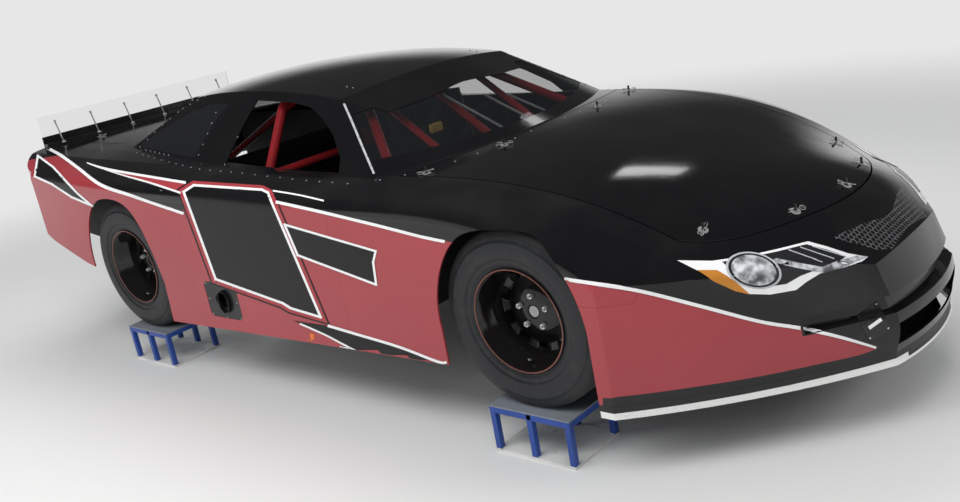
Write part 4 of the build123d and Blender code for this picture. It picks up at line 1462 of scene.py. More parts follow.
@dataclass
class Studio:
    """Floor, soft lamps, world and the camera at the photograph's place."""

    floor_half: float = 30.0
    floor_colour: Colour = (0.76, 0.76, 0.75)
    backdrop: float = 0.8
    overhead: float = 0.05
    fade: Flat = (0.05, 0.26)
    lamps: tuple[tuple[str, Point, Point, Flat, float], ...] = (
        ("key_panel", (1.5, -3.5, 4.6), (0.2, 0.0, 0.5), (5.0, 2.2), 190.0),
        ("roof_panel", (-1.5, 1.5, 5.2), (-0.3, 0.0, 0.4), (6.0, 2.0), 150.0),
        ("side_panel", (-3.5, -6.0, 2.4), (0.0, 0.0, 0.5), (3.0, 1.6), 80.0),
        ("front_panel", (6.5, 1.5, 3.2), (0.8, 0.0, 0.5), (2.4, 1.6), 70.0),
    )
    mirrored: tuple[str, Point, Point, Flat, float] = (
        "window_strip", (0.0, 3.5, 3.7), (1.6, -0.35, 0.94), (0.7, 0.3), 2.6
    )

    def build(self) -> None:
        """Makes the floor, lamps, world and camera."""
        self.camera()
        self.floor()
        self.world()
        for lamp in self.lamps:
            self.lamp(*lamp).visible_glossy = False
        self.lamp(*self.mirrored)
        bpy.context.scene.view_settings.view_transform = "Standard"

    def camera(self) -> None:
        """Sets the camera where the photograph was taken from."""
        data = bpy.data.cameras.new("photograph_camera")
        data.sensor_width = SENSOR_WIDTH
        data.lens = SENSOR_WIDTH * FOCAL_PIXELS / FRAME_WIDTH
        data.clip_end = 200.0
        camera = bpy.data.objects.new("photograph_camera", data)
        camera.matrix_world = Viewpoint().matrix()
        bpy.context.scene.collection.objects.link(camera)
        bpy.context.scene.camera = camera

    def floor(self) -> None:
        """Lays the pale floor, which is seen at full strength and lights the car softly."""
        half = self.floor_half
        finish = FloorCoat("pale_studio_floor", self.floor_colour, self.backdrop)
        corners = [(x * half, y * half, 0) for x, y in ((-1, -1), (1, -1), (1, 1), (-1, 1))]
        floor = new_piece("studio_floor", corners, [(0, 1, 2, 3)], finish)

    def world(self) -> None:
        """Gives what is seen or mirrored a pale horizon and a dark sky, and soft light to the rest."""
        world = bpy.data.worlds.new("studio_world")
        world.use_nodes = True
        tree = world.node_tree
        tree.nodes.clear()
        output = tree.nodes.new("ShaderNodeOutputWorld")
        path = tree.nodes.new("ShaderNodeLightPath")
        seen = self.greater(tree, path.outputs["Is Camera Ray"], path.outputs["Is Transmission Ray"])
        seen = self.greater(tree, seen, path.outputs["Is Glossy Ray"])
        soft, pale = (tree.nodes.new("ShaderNodeBackground") for _ in range(2))
        blend = tree.nodes.new("ShaderNodeMixShader")
        soft.inputs[0].default_value = (0.95, 0.97, 1.0, 1.0)
        soft.inputs[1].default_value = 0.42
        way = tree.nodes.new("ShaderNodeTexCoord")
        split = tree.nodes.new("ShaderNodeSeparateXYZ")
        tree.links.new(way.outputs["Generated"], split.inputs[0])
        height = tree.nodes.new("ShaderNodeMapRange")
        height.interpolation_type = "SMOOTHSTEP"
        for key, value in zip((1, 2, 3, 4), (*self.fade, self.backdrop, self.overhead)):
            height.inputs[key].default_value = value
        tree.links.new(split.outputs[2], height.inputs[0])
        tree.links.new(height.outputs[0], pale.inputs[0])
        pale.inputs[1].default_value = 1.0
        tree.links.new(seen, blend.inputs[0])
        tree.links.new(soft.outputs[0], blend.inputs[1])
        tree.links.new(pale.outputs[0], blend.inputs[2])
        tree.links.new(blend.outputs[0], output.inputs[0])
        bpy.context.scene.world = world

    @staticmethod
    def greater(
        tree: bpy.types.NodeTree, first: bpy.types.NodeSocket, second: bpy.types.NodeSocket
    ) -> bpy.types.NodeSocket:
        """The greater of two sockets.

        Args:
            tree: The tree that holds them.
            first: One socket.
            second: The other.

        Returns:
            The socket of the greater value.
        """
        choice = tree.nodes.new("ShaderNodeMath")
        choice.operation = "MAXIMUM"
        tree.links.new(first, choice.inputs[0])
        tree.links.new(second, choice.inputs[1])
        return choice.outputs[0]

    def lamp(self, name: str, place: Point, target: Point, size: Flat, power: float) -> Piece:
        """Hangs one soft panel.

        Args:
            name: The lamp's name.
            place: Where it hangs.
            target: What it faces.
            size: Its length and width.
            power: Its power, in watts.

        Returns:
            The lamp.
        """
        data = bpy.data.lights.new(name, "AREA")
        data.shape = "RECTANGLE"
        data.size, data.size_y = size
        data.energy = power
        lamp = bpy.data.objects.new(name, data)
        lamp.location = place
        lamp.rotation_mode = "QUATERNION"
        lamp.rotation_quaternion = (Vector(target) - Vector(place)).to_track_quat("-Z", "Y")
        bpy.context.scene.collection.objects.link(lamp)
        return lamp


@dataclass(frozen=True)
class FloorCoat(Finish):
    """Pale floor that keeps shadows and meets the backdrop without a line far away."""

    colour: Colour
    backdrop: float

    def build(self, shader: Shader) -> Shader:
        """Fills the material's tree.

        Args:
            shader: The new material's shader.

        Returns:
            The same shader, filled.
        """
        x, y, _ = shader.parts(shader.place())
        far = ((x * x + y * y) ** 0.5).between(3.4, 8.0)
        stain = shader.noise(1.4, 5.0).between(0.3, 0.8)
        tone = shader.mix(stain * 0.25, self.colour, scaled(self.colour, 0.9))
        shader.set(Base_Color=tone, Roughness=0.55 + stain * 0.1)
        glow = shader.tree.nodes.new("ShaderNodeEmission")
        glow.inputs[0].default_value = (self.backdrop, self.backdrop, self.backdrop, 1.0)
        blend = shader.tree.nodes.new("ShaderNodeMixShader")
        shader.fill(blend.inputs[0], far)
        shader.link(shader.surface.outputs[0], blend.inputs[1])
        shader.link(glow.outputs[0], blend.inputs[2])
        shader.link(blend.outputs[0], shader.output.inputs["Surface"])
        return shader


# carried-over nodes


@dataclass
class NodeFinishes:
    """Which finish each carried-over node gets."""

    side_paint: Finish
    by_start: tuple[tuple[str, Finish], ...] = (
        ("nose_lip", LIP_PLASTIC), ("quarter_window", CLEAR_DARK), ("windshield", CLEAR),
        # The inner sheets' near-black is partly painted shade inside the car.
        ("rear_window", CLEAR), ("spoiler_blade", CLEAR), ("roll_cage", CAGE_RED), ("floor_pan", SHADED_INNER_SHEET),
        ("firewall", SHADED_INNER_SHEET), ("rear_bulkhead", SHADED_INNER_SHEET), ("seat", SEAT_CLOTH), ("dash_panel", DASH),
        ("steering_wheel", GRIP), ("engine_block", IRON), ("fuel_cell", FRAME_BLACK),
        ("spoiler_base", FRAME_BLACK), ("exhaust_outlet", FRAME_BLACK), ("chassis_frame", FRAME_BLACK),
        ("rear_axle", FRAME_BLACK), ("stand_", STAND_BLUE), ("knuckle", STEEL), ("front_arms", STEEL),
        ("tyre_", TYRE), ("rim_", RIM_BLACK),
    )

    def dress(self, frame: dict) -> None:
        """Gives every node its finish.

        Args:
            frame: The loaded frame.
        """
        painted = tuple(
            (start, self.side_paint) for start in ("nose", "fender_", "door_", "quarter_", "tail_cover")
        )
        for name, node in frame["nodes"].items():
            finish = next(
                (f for start, f in (*self.by_start, *painted) if name.startswith(start)), BLACK_PAINT
            )
            node.data.materials.clear()
            node.data.materials.append(finish.material())


# the wheels


@dataclass
class Wheel:
    """One wheel: a slick tyre on a deep steel rim with a stamped centre."""

    axle: str
    side: str
    width: float = 0.28
    radius: float = 0.35
    rim_half: float = 0.134
    bead: float = 0.192
    lip: float = 0.205
    disc: float = 0.026
    hand_holes: int = 10
    lugs: int = 5
    lug_circle: float = 0.0635
    turns: int = 112

    def build(self) -> None:
        """Makes the tyre and the rim and sets them on the axle."""
        body = f"wheel_{self.axle}_{self.side}"
        tyre = self.set_out(self.tyre())
        settle(tyre, body, [f"tyre_{self.axle}_{self.side}"])
        rim = self.set_out(self.rim())
        settle(rim, body, [f"rim_{self.axle}_{self.side}"])

    def set_out(self, piece: Piece) -> Piece:
        """Puts a piece made about +X at this wheel's corner, outer side out.

        Args:
            piece: The piece.

        Returns:
            The same piece.
        """
        sign = SIDES[self.side]
        place = Matrix.Translation((AXLES[self.axle], sign * WHEEL_Y, AXLE_Z))
        return moved(piece, place @ Matrix.Rotation(math.radians(90 * sign), 4, "Z"))

    def tyre(self) -> Piece:
        """Turns the tyre's section: bead, ringed sidewall, rounded shoulder and slightly crowned tread.

        Returns:
            The tyre.
        """
        half, outer = self.width / 2, self.radius
        seat = self.rim_half - 0.0073
        wall = [
            (seat - 0.012, self.bead + 0.0003), (seat, self.bead + 0.0003), (seat, self.lip + 0.002),
            (seat + 0.003, self.lip + 0.007), (seat + 0.0035, self.lip + 0.011),
            (seat + 0.0065, self.lip + 0.013), (seat + 0.008, self.lip + 0.02), (half - 0.0045, 0.236),
            (half - 0.0042, 0.239), (half - 0.0012, 0.24), (half - 0.0005, 0.25), (half, 0.268),
            (half - 0.0005, 0.285), (half - 0.003, 0.3), (half - 0.0032, 0.302), (half - 0.0055, 0.303),
            (half - 0.008, 0.316), (half - 0.013, 0.328), (half - 0.018, 0.336), (half - 0.026, 0.3435),
            (half - 0.036, 0.3478),
        ]
        tread = [
            (half * s, outer - 0.0009 * s * s * 2)
            for s in (0.6, 0.45, 0.3, 0.15, 0.0, -0.15, -0.3, -0.45, -0.6)
        ]
        other = [(-along, radius) for along, radius in reversed(wall)]
        inside = [
            (-seat + 0.014, self.bead + 0.002), (-half + 0.016, 0.262), (-half + 0.03, 0.325),
            (half - 0.03, 0.325), (half - 0.016, 0.262), (seat - 0.014, self.bead + 0.002)
        ]
        return lathe(f"slick_tyre_{self.axle}_{self.side}", wall + tread + other + inside, TYRE, self.turns)

    def rim(self) -> Piece:
        """Turns the rim's shell and centre, and adds nuts, hub and valve.

        Returns:
            The rim with its fittings.
        """
        edge, bead = self.rim_half, self.bead
        shell = [
            (edge - 0.002, self.lip), (edge, self.lip - 0.003), (edge - 0.001, self.lip - 0.007),
            (edge - 0.006, self.lip - 0.0095), (edge - 0.012, bead - 0.0025), (edge - 0.03, bead - 0.006),
            (edge - 0.036, bead - 0.011), (edge - 0.07, bead - 0.017), (edge - 0.076, bead - 0.024),
            (self.disc - 0.008, bead - 0.026), (-0.06, bead - 0.03), (-edge + 0.03, bead - 0.012),
            (-edge + 0.001, bead - 0.007), (-edge + 0.002, self.lip), (-edge + 0.007, self.lip - 0.001),
            (-edge + 0.0072, bead), (-edge + 0.035, bead - 0.003), (-0.06, bead - 0.022),
            (self.disc - 0.008, bead - 0.019), (edge - 0.07, bead - 0.01), (edge - 0.03, bead),
            (edge - 0.0072, bead), (edge - 0.007, self.lip - 0.001),
        ]
        name = f"{self.axle}_{self.side}"
        barrel = lathe(f"rim_barrel_{name}", shell, RIM_BLACK, self.turns)
        # Thin ring round the lip, coloured reddish as a painted reflection of the red body.
        reflection_ring = [
            (edge - 0.0005, self.lip - 0.0085), (edge + 0.0006, self.lip - 0.006),
            (edge - 0.0004, self.lip - 0.0035), (edge - 0.002, self.lip - 0.006)
        ]
        ring = lathe(f"rim_lip_{name}", reflection_ring, RIM_LIP_RED_REFLECTION, self.turns)
        pieces = [barrel, ring, self.centre(name), *self.hub(name)]
        return join(f"racing_rim_{name}", pieces)

    def centre(self, name: str) -> Piece:
        """The pressed centre disc, domed towards the hub, with its row of hand holes.

        Args:
            name: The wheel's name.

        Returns:
            The disc.
        """
        disc, bead = self.disc, self.bead
        count = self.hand_holes * 8
        rings = [
            (0.0232, disc + 0.004), (0.05, disc + 0.003), (0.062, disc), (0.082, disc - 0.002),
            (0.1, disc - 0.012), (0.118, disc - 0.022), (0.132, disc - 0.028), (0.1365, disc - 0.028),
            (0.152, disc - 0.026), (0.1675, disc - 0.022), (0.172, disc - 0.02),
            (bead - 0.0185, disc - 0.006),
        ]
        verts, faces = [], []
        for t in range(count):
            turn = 2 * math.pi * t / count
            for radius, along in rings:
                verts.append((along, radius * math.cos(turn), radius * math.sin(turn)))
        width = len(rings)
        for t in range(count):
            for r in range(width - 1):
                hole = t % 8 in (2, 3, 4, 5) and 7 <= r <= 8
                if not hole:
                    n = (t + 1) % count
                    faces.append((t * width + r, t * width + r + 1, n * width + r + 1, n * width + r))
        made = new_piece(f"rim_centre_{name}", verts, faces, RIM_BLACK)
        shell = made.modifiers.new("thickness", "SOLIDIFY")
        shell.thickness, shell.offset = 0.006, -1.0
        soft = made.modifiers.new("rounding", "SUBSURF")
        soft.levels = soft.render_levels = 1
        return applied(recalculated(made))

    def hub(self, name: str) -> list[Piece]:
        """Hub sleeve, lug nuts with studs, and the valve.

        Args:
            name: The wheel's name.

        Returns:
            The pieces.
        """
        disc = self.disc
        tube_wall = [
            (disc + 0.004, 0.0232), (disc + 0.006, 0.04), (disc + 0.004, 0.044), (-0.094, 0.062),
            (-0.094, 0.0232)
        ]
        sleeve = lathe(f"hub_{name}", tube_wall, RIM_BLACK, 48)
        places = []
        for k in range(self.lugs):
            turn = 2 * math.pi * (k + 0.25) / self.lugs
            across, up = self.lug_circle * math.cos(turn), self.lug_circle * math.sin(turn)
            places.append((Vector((disc + 0.002, across, up)), Vector((1, 0, 0))))
        nuts = nut_tree(f"lug_nuts_{name}", 0.0135, 0.017, CHROME).grow(f"lug_nuts_{name}", places)
        studs = [
            tube(f"stud_{name}_{k}", [p, p + n * 0.024], 0.0055, STEEL, sides=10)
            for k, (p, n) in enumerate(places)
        ]
        valve_at = (self.rim_half - 0.05, 0.0, -(self.bead - 0.02))
        valve = tube(
            f"valve_{name}", [valve_at, (valve_at[0] + 0.022, 0.0, valve_at[2] + 0.012)], 0.004, STEEL,
            sides=8
        )
        return [sleeve, nuts, valve, *studs]


# film, stripes and printed details on the body


@dataclass
class Livery:
    """Stripes and panels on the sides and the nose, laid out for the right side and reflected."""

    skin: Skin
    wedge_top: Outline = ((87, 163), (100, 167.5), (118, 171.5), (150, 177), (186, 183))
    wedge_low: Outline = ((104, 169.5), (125, 176), (150, 183), (181, 193))
    pin_stripe: Outline = ((273, 191), (300, 195.5), (324, 201))
    tail_wedge: Outline = (
        (38, 156), (53, 167), (66, 181), (78, 193.5), (92, 205.5), (72, 197), (52, 184), (35, 176.5)
    )
    number_panel: Outline = (
        (194, 185.5), (262, 190), (268, 193), (321, 317), (291, 308), (283, 303), (216, 279), (184, 192)
    )
    bar: Outline = ((285, 224.5), (376, 251), (373.5, 262), (376.5, 284.5), (298, 255))
    low_wedge: Outline = ((293, 320.5), (330, 326), (452, 366), (452, 372), (360, 354), (325, 334))
    low_line: Outline = ((300, 323.5), (325, 334.5), (345, 345), (362, 353.5))
    low_top: Outline = ((328, 325.5), (360, 335), (400, 347), (438, 361.5), (447, 362))
    mark: Outline = ((310, 333), (314, 334), (315.5, 344.5), (311.5, 343.5))

    def build(self) -> None:
        """Lays every piece of film on both sides."""
        sight = self.skin.sighted
        white = [self.stripe(f"{name}_stripe", line, width) for name, line, width in (
            ("tail", TAIL_LINE, (2.6, 3.0, 3.0, 3.2, 3.0, 2.8, 2.8)),
            ("wedge_top", self.wedge_top, (1.0, 2.2, 2.4, 2.4, 2.6)),
            ("wedge_low", self.wedge_low, (0.8, 1.4, 1.8, 2.0)),
            ("door", DOOR_LINE, 3.0),
            ("pin", self.pin_stripe, 1.6),
            ("low", self.low_line, 1.8),
            ("low_top", self.low_top, 2.6),
            ("nose", NOSE_LINE, (3.4, 3.6, 3.6, 3.6, 3.4, 3.6, 3.2, 2.2)),
        )]
        wedge = list(self.wedge_top[1:]) + list(self.wedge_low[::-1])
        red = [drape("red_wedge", wedge, sight, RED_FILM, 4.0, FILM * 2)]
        black, edges = [], []
        for name, outline, width in (
            ("tail_wedge", self.tail_wedge, 2.0), ("side_bar", self.bar, 2.2),
            ("number_panel", self.number_panel, 2.4),
        ):
            black.append(drape(name, outline, sight, BLACK_FILM, 3.0, FILM * 2.6))
            edges += self.border(name, outline, width)
        black.append(drape("low_wedge", self.low_wedge, sight, BLACK_FILM, 5.0, FILM * 1.4))
        rim = self.grown(self.number_panel, 5.2)
        edges += self.border("number_rim", rim, 1.4, BLACK_FILM, FILM * 2.4)
        red.append(drape("number_backing", rim, sight, RED_FILM, 3.0, FILM * 1.8))
        red.append(drape("orange_mark", self.mark, sight, ORANGE_FILM, 4.0, FILM * 2))
        film = join("stripe_film", [both(piece) for piece in white + red + black + edges])
        settle(film, Body.CAR)

    def stripe(self, name: str, line: Sequence[Pixel], width: float | Sequence[float]) -> Piece:
        """One white stripe of some pixels' width.

        Args:
            name: The piece's name.
            line: The stripe's middle line.
            width: Its width, or one for each corner.

        Returns:
            The stripe.
        """
        dense = smooth_line(line, 5)
        if not isinstance(width, (int, float)):
            spread = []
            for a, b in zip(width, width[1:]):
                spread += [a + (b - a) * s / 5 for s in range(5)]
            width = spread + [width[-1]]
        return drape(name, ribbon(dense, width), self.skin.sighted, WHITE_FILM, 5.0, FILM * 3.2)

    def border(
        self, name: str, outline: Sequence[Pixel], width: float, finish: Finish = WHITE_FILM,
        lift: float = FILM * 3.4
    ) -> list[Piece]:
        """A stripe round an outline, one side at a time, with its corners closed.

        Args:
            name: The start of the pieces' names.
            outline: The outline.
            width: The stripe's width.
            finish: Its finish.
            lift: How far it stands off the skin.

        Returns:
            The stripe's pieces.
        """
        pieces = []
        for k, (start, end) in enumerate(zip(outline, [*outline[1:], outline[0]])):
            length = math.hypot(end[0] - start[0], end[1] - start[1])
            ux, uy = (end[0] - start[0]) / length * width / 2, (end[1] - start[1]) / length * width / 2
            line = ((start[0] - ux, start[1] - uy), (end[0] + ux, end[1] + uy))
            pieces.append(drape(
                f"{name}_edge_{k}", ribbon(line, width), self.skin.sighted, finish, 4.0, lift + k * 2e-5
            ))
        return pieces

    @staticmethod
    def grown(outline: Sequence[Pixel], margin: float) -> list[Pixel]:
        """An outline moved outwards by a margin, corner by corner.

        Args:
            outline: The outline.
            margin: The margin.

        Returns:
            The wider outline.
        """
        cx = sum(p[0] for p in outline) / len(outline)
        cy = sum(p[1] for p in outline) / len(outline)
        grown = []
        count = len(outline)
        for k, (x, y) in enumerate(outline):
            (x0, y0), (x1, y1) = outline[k - 1], outline[(k + 1) % count]
            shift = Vector((0, 0))
            for (ax, ay), (bx, by) in (((x0, y0), (x, y)), ((x, y), (x1, y1))):
                normal = Vector((by - ay, ax - bx)).normalized()
                if normal.dot(Vector((x - cx, y - cy))) < 0:
                    normal = -normal
                shift += normal
            shift = shift / max(shift.length_squared / 2, 0.4)
            grown.append((x + shift.x * margin, y + shift.y * margin))
        return grown


@dataclass
class HeadLamp:
    """The printed lamp on the nose: white frame, oval lens, amber corner and bright bars."""

    skin: Skin
    outline: Outline = (
        (677, 260.5), (712, 261), (744, 256.5), (776, 249.5), (808, 241.5), (828, 247), (848, 253.5),
        (868, 257), (862, 261.5), (842, 268), (820, 273.5), (806, 282), (796, 290), (770, 294.5), (750, 294),
        (735, 284), (716, 272), (698, 271),
    )
    dark: Outline = (
        (722, 262), (746, 258.5), (778, 251.5), (806, 244.5), (826, 249.5), (846, 256.5), (834, 266),
        (818, 269), (800, 276), (786, 284), (764, 287), (748, 284), (735, 274),
    )
    amber: Outline = ((697, 270.5), (717, 270.5), (734, 280.5), (750, 294.5), (735, 291), (714, 281.5))
    lens: tuple[float, float, float, float] = (753.5, 270.5, 24.0, 15.5)
    lens_lean: float = 0.14
    streaks: tuple[Outline, ...] = (
        ((788, 250), (822, 262)), ((800, 247.5), (834, 259)), ((812, 246.5), (846, 257))
    )
    bar: Outline = (
        (770, 262), (800, 268.5), (823, 273), (841, 268), (868, 257), (858, 255.5), (834, 262), (822, 267),
        (800, 263), (776, 258.5)
    )

    def build(self) -> None:
        """Lays the lamp's films on both sides."""
        films = [
            ("frame", self.outline, WHITE_FILM, 4.0, 2.0),
            ("amber", self.amber, AMBER_FILM, 3.0, 4.6),
            ("dark", self.dark, LAMP_DARK, 4.0, 3.0),
            ("lens_ring", self.oval(1.16), LAMP_SILVER, 5.0, 3.8),
            ("lens_gap", self.oval(1.06), LAMP_DARK, 5.0, 4.6),
            ("lens", self.oval(0.94), LAMP_FILM, 3.0, 6.2),
            ("bar", self.bar, LAMP_FILM, 5.0, 3.6),
        ]
        films += [
            (f"streak_{k}", ribbon(line, 1.0), LAMP_SILVER, 4.0, 4.0) for k, line in enumerate(self.streaks)
        ]
        pieces = [
            drape(f"lamp_{name}", outline, self.skin.sighted, finish, step, FILM * lift)
            for name, outline, finish, step, lift in films
        ]
        settle(join("lamp_film", [both(piece) for piece in pieces]), Body.CAR)

    def oval(self, scale: float) -> list[Pixel]:
        """The lens outline, scaled.

        Args:
            scale: The share of the lens's size.

        Returns:
            The outline.
        """
        x, y, wide, tall = self.lens
        ring = []
        for k in range(32):
            turn = 2 * math.pi * k / 32
            across, down = wide * scale * math.cos(turn), tall * scale * math.sin(turn)
            ring.append((x + across, y + down + across * self.lens_lean))
        return ring


# fasteners


@dataclass
class HoodPins:
    """Round scuff plates and spring clips on the lid pins."""

    skin: Skin
    hood_places: Outline = ((3.190, 0.583), (3.398, 0.308), (3.457, 0.0), (2.090, 0.748), (2.170, 0.350))
    lid_places: Outline = ((-0.960, 0.430),)
    plate: float = 0.019
    hole: float = 0.0072
    wire: float = 0.0014
    loop: float = 0.0105
    leg: float = 0.034
    aside: float = 0.014
    lift: float = 0.0068

    def build(self) -> None:
        """Sets a plate and a clip at every pin, on the skin just beside the pin's hole."""
        for name, body, places in (
            ("hood_pin_clips", Body.HOOD, self.hood_places),
            ("deck_lid_pin_clips", Body.DECK_LID, self.lid_places)
        ):
            pieces = []
            for k, (x, y) in enumerate([(x, s * y) for x, y in places for s in ((-1, 1) if y else (1,))]):
                beside, normal = self.skin.from_above((REAR_AXLE_X + x + self.aside, y))
                place = Vector((REAR_AXLE_X + x, y, beside.z + self.aside * normal.x))
                pieces += self.pin(f"{name}_{k}", place, normal, 40 + 67 * k)
            settle(join(name, pieces), body)

    def pin(self, name: str, place: Vector, normal: Vector, turn: float) -> list[Piece]:
        """One plate with its rolled edge, and a bent wire clip lying over it.

        Args:
            name: The start of the pieces' names.
            place: Where the pin leaves the skin.
            normal: The skin's normal there.
            turn: The clip's turn about the pin, in degrees.

        Returns:
            The plate and the clip's wires.
        """
        ring = [
            (0.0003, self.plate), (0.0012, self.plate - 0.0006), (0.0016, self.plate - 0.004),
            (0.0026, self.hole + 0.003), (0.0022, self.hole), (0.0003, self.hole)
        ]
        plate = lathe(f"{name}_plate", ring, CHROME, 28)
        stand = stood(place, normal)
        moved(plate, stand)
        lift, loop = self.lift, self.loop
        coil = [
            (lift + 0.0006 * k, -0.016 - loop + loop * math.cos(k * 0.55), loop * math.sin(k * 0.55))
            for k in range(-5, 12)
        ]
        legs = [(lift, self.leg, 0.004), (lift, 0.012, 0.0058), (lift, -0.004, 0.0066), *coil[5:6]]
        other = [
            (lift + 0.0055, self.leg - 0.004, -0.003), (lift + 0.005, 0.014, -0.0075),
            (lift + 0.0035, 0.002, -0.004), (lift + 0.002, -0.01, -0.002)
        ]
        wires = [
            tube(f"{name}_leg", legs, self.wire, CHROME, 0.004, 6),
            tube(f"{name}_arm", other, self.wire, CHROME, 0.004, 6),
            tube(f"{name}_coil", coil, self.wire, CHROME, 0.0, 6),
        ]
        spin = stand @ Matrix.Rotation(math.radians(turn), 4, "X")
        return [plate, *[moved(wire, spin) for wire in wires]]


@dataclass
class Rivets:
    """Rows of domed rivets along the panels, windows and the outlet."""

    skin: Skin
    roof: Skin
    sill: Outline = ((137, 153), (165, 161), (198, 169), (240, 173), (300, 180), (352, 184))
    quarter_top: Outline = ((140, 147), (160, 127), (182, 109), (207, 95))
    shield_low: Outline = ((380, 180), (430, 170), (490, 149), (545, 125))
    outlet_at: Point = (-0.445, -0.985, 0.452)
    outlet: Outline = (
        (-0.575, 0.375), (-0.575, 0.455), (-0.575, 0.535), (-0.463, 0.54), (-0.35, 0.535), (-0.35, 0.455),
        (-0.35, 0.375), (-0.463, 0.37)
    )

    def build(self) -> None:
        """Grows the rows on both sides, and sets the outlet's pipe with its own rivets."""
        rows = other_side([
            *spaced(self.sill, self.skin.sighted, 0.085), *spaced(self.quarter_top, self.roof.sighted, 0.07),
            *spaced(self.shield_low, self.skin.sighted, 0.11),
        ])
        panel = rivet_tree("panel_rivets", 0.0042, 0.0022, CHROME).grow("panel_rivets", rows)
        settle(panel, Body.CAR)
        ring = [(0.0, 0.048), (0.03, 0.048), (0.032, 0.0465), (0.03, 0.0445), (0.0, 0.0445)]
        turn = Matrix.Rotation(math.radians(-90), 4, "Z") @ Matrix.Diagonal((1.0, 0.86, 1.2, 1.0))
        pipe = lathe("outlet_pipe", ring, BLACK_PAINT, 48)
        moved(pipe, Matrix.Translation(self.outlet_at) @ turn)
        settle(pipe, Body.CAR)
        heads = [self.skin.from_side(place) for place in self.outlet]
        outlet = rivet_tree("outlet_rivets", 0.005, 0.0028, STEEL).grow("outlet_rivets", heads)
        settle(outlet, Body.CAR)


# the stands


@dataclass
class Stand:
    """One wheel stand: welded square tubes with a steel plate on top and a painted base plate."""

    axle: str
    side: str
    length: float = 0.376
    width: float = 0.29
    height: float = 0.196
    tube: float = 0.025
    top: float = 0.006
    base: float = 0.01
    outer: float = 0.995

    def build(self) -> None:
        """Makes the stand in place of its node."""
        x, y = AXLES[self.axle], SIDES[self.side] * (self.outer - self.width / 2)
        name = f"stand_{self.axle}_{self.side}"
        half_x, half_y, t = self.length / 2, self.width / 2, self.tube
        roof = self.height - self.top
        low, high = (x - half_x, y - half_y), (x + half_x, y + half_y)
        pieces = [
            block(f"{name}_top", (*low, roof), (*high, self.height), STAND_TOP, 0.0012),
            block(f"{name}_base", (*low, 0.0), (*high, self.base), STAND_BASE, 0.0015),
        ]

        def bar(key: str, start: Point, end: Point) -> None:
            """Adds one tube."""
            pieces.append(block(f"{name}_{key}", start, end, STAND_BLUE, 0.0028))

        inset_x, inset_y = half_x - t / 2 - 0.0005, half_y - t / 2 - 0.0005
        for k, (cx, cy) in enumerate([(i * inset_x, j * inset_y) for i in (-1, 0, 1) for j in (-1, 1)]):
            foot = (x + cx - t / 2, y + cy - t / 2)
            bar(f"leg_{k}", (*foot, self.base), (x + cx + t / 2, y + cy + t / 2, roof))
            turns = ((0, 0), (1, 0), (1, 1), (0, 1), (0, 0))
            bead = [(foot[0] + i * t, foot[1] + j * t, self.base + 0.001) for i, j in turns]
            pieces.append(tube(f"{name}_weld_{k}", bead, 0.0022, STAND_BASE, sides=6))
        for j in (-1, 1):
            cx, cy = x + j * inset_x, y + j * inset_y
            bar(f"rail_{j}", (low[0], cy - t / 2, roof - t), (high[0], cy + t / 2, roof))
            bar(f"end_{j}", (cx - t / 2, low[1], roof - t), (cx + t / 2, high[1], roof))
        settle(join(f"wheel_{name}", pieces), Body.CAR, [name])


def sheet(
    name: str, outline: Sequence[Flat], place: Callable[[float, float], tuple[Point, Point]], finish: Finish
) -> Piece:
    """A flat plate: an outline set on two faces.

    Args:
        name: The piece's name.
        outline: The plate's outline.
        place: Gives the two opposite points for a point of the outline.
        finish: Its finish.

    Returns:
        The plate.
    """
    pairs = [place(u, v) for u, v in outline]
    count = len(pairs)
    verts = [first for first, _ in pairs] + [second for _, second in pairs]
    faces = [tuple(range(count)), tuple(reversed(range(count, 2 * count)))]
    faces += [(k, (k + 1) % count, count + (k + 1) % count, count + k) for k in range(count)]
    return recalculated(new_piece(name, verts, faces, finish, False))


# what is inside the car


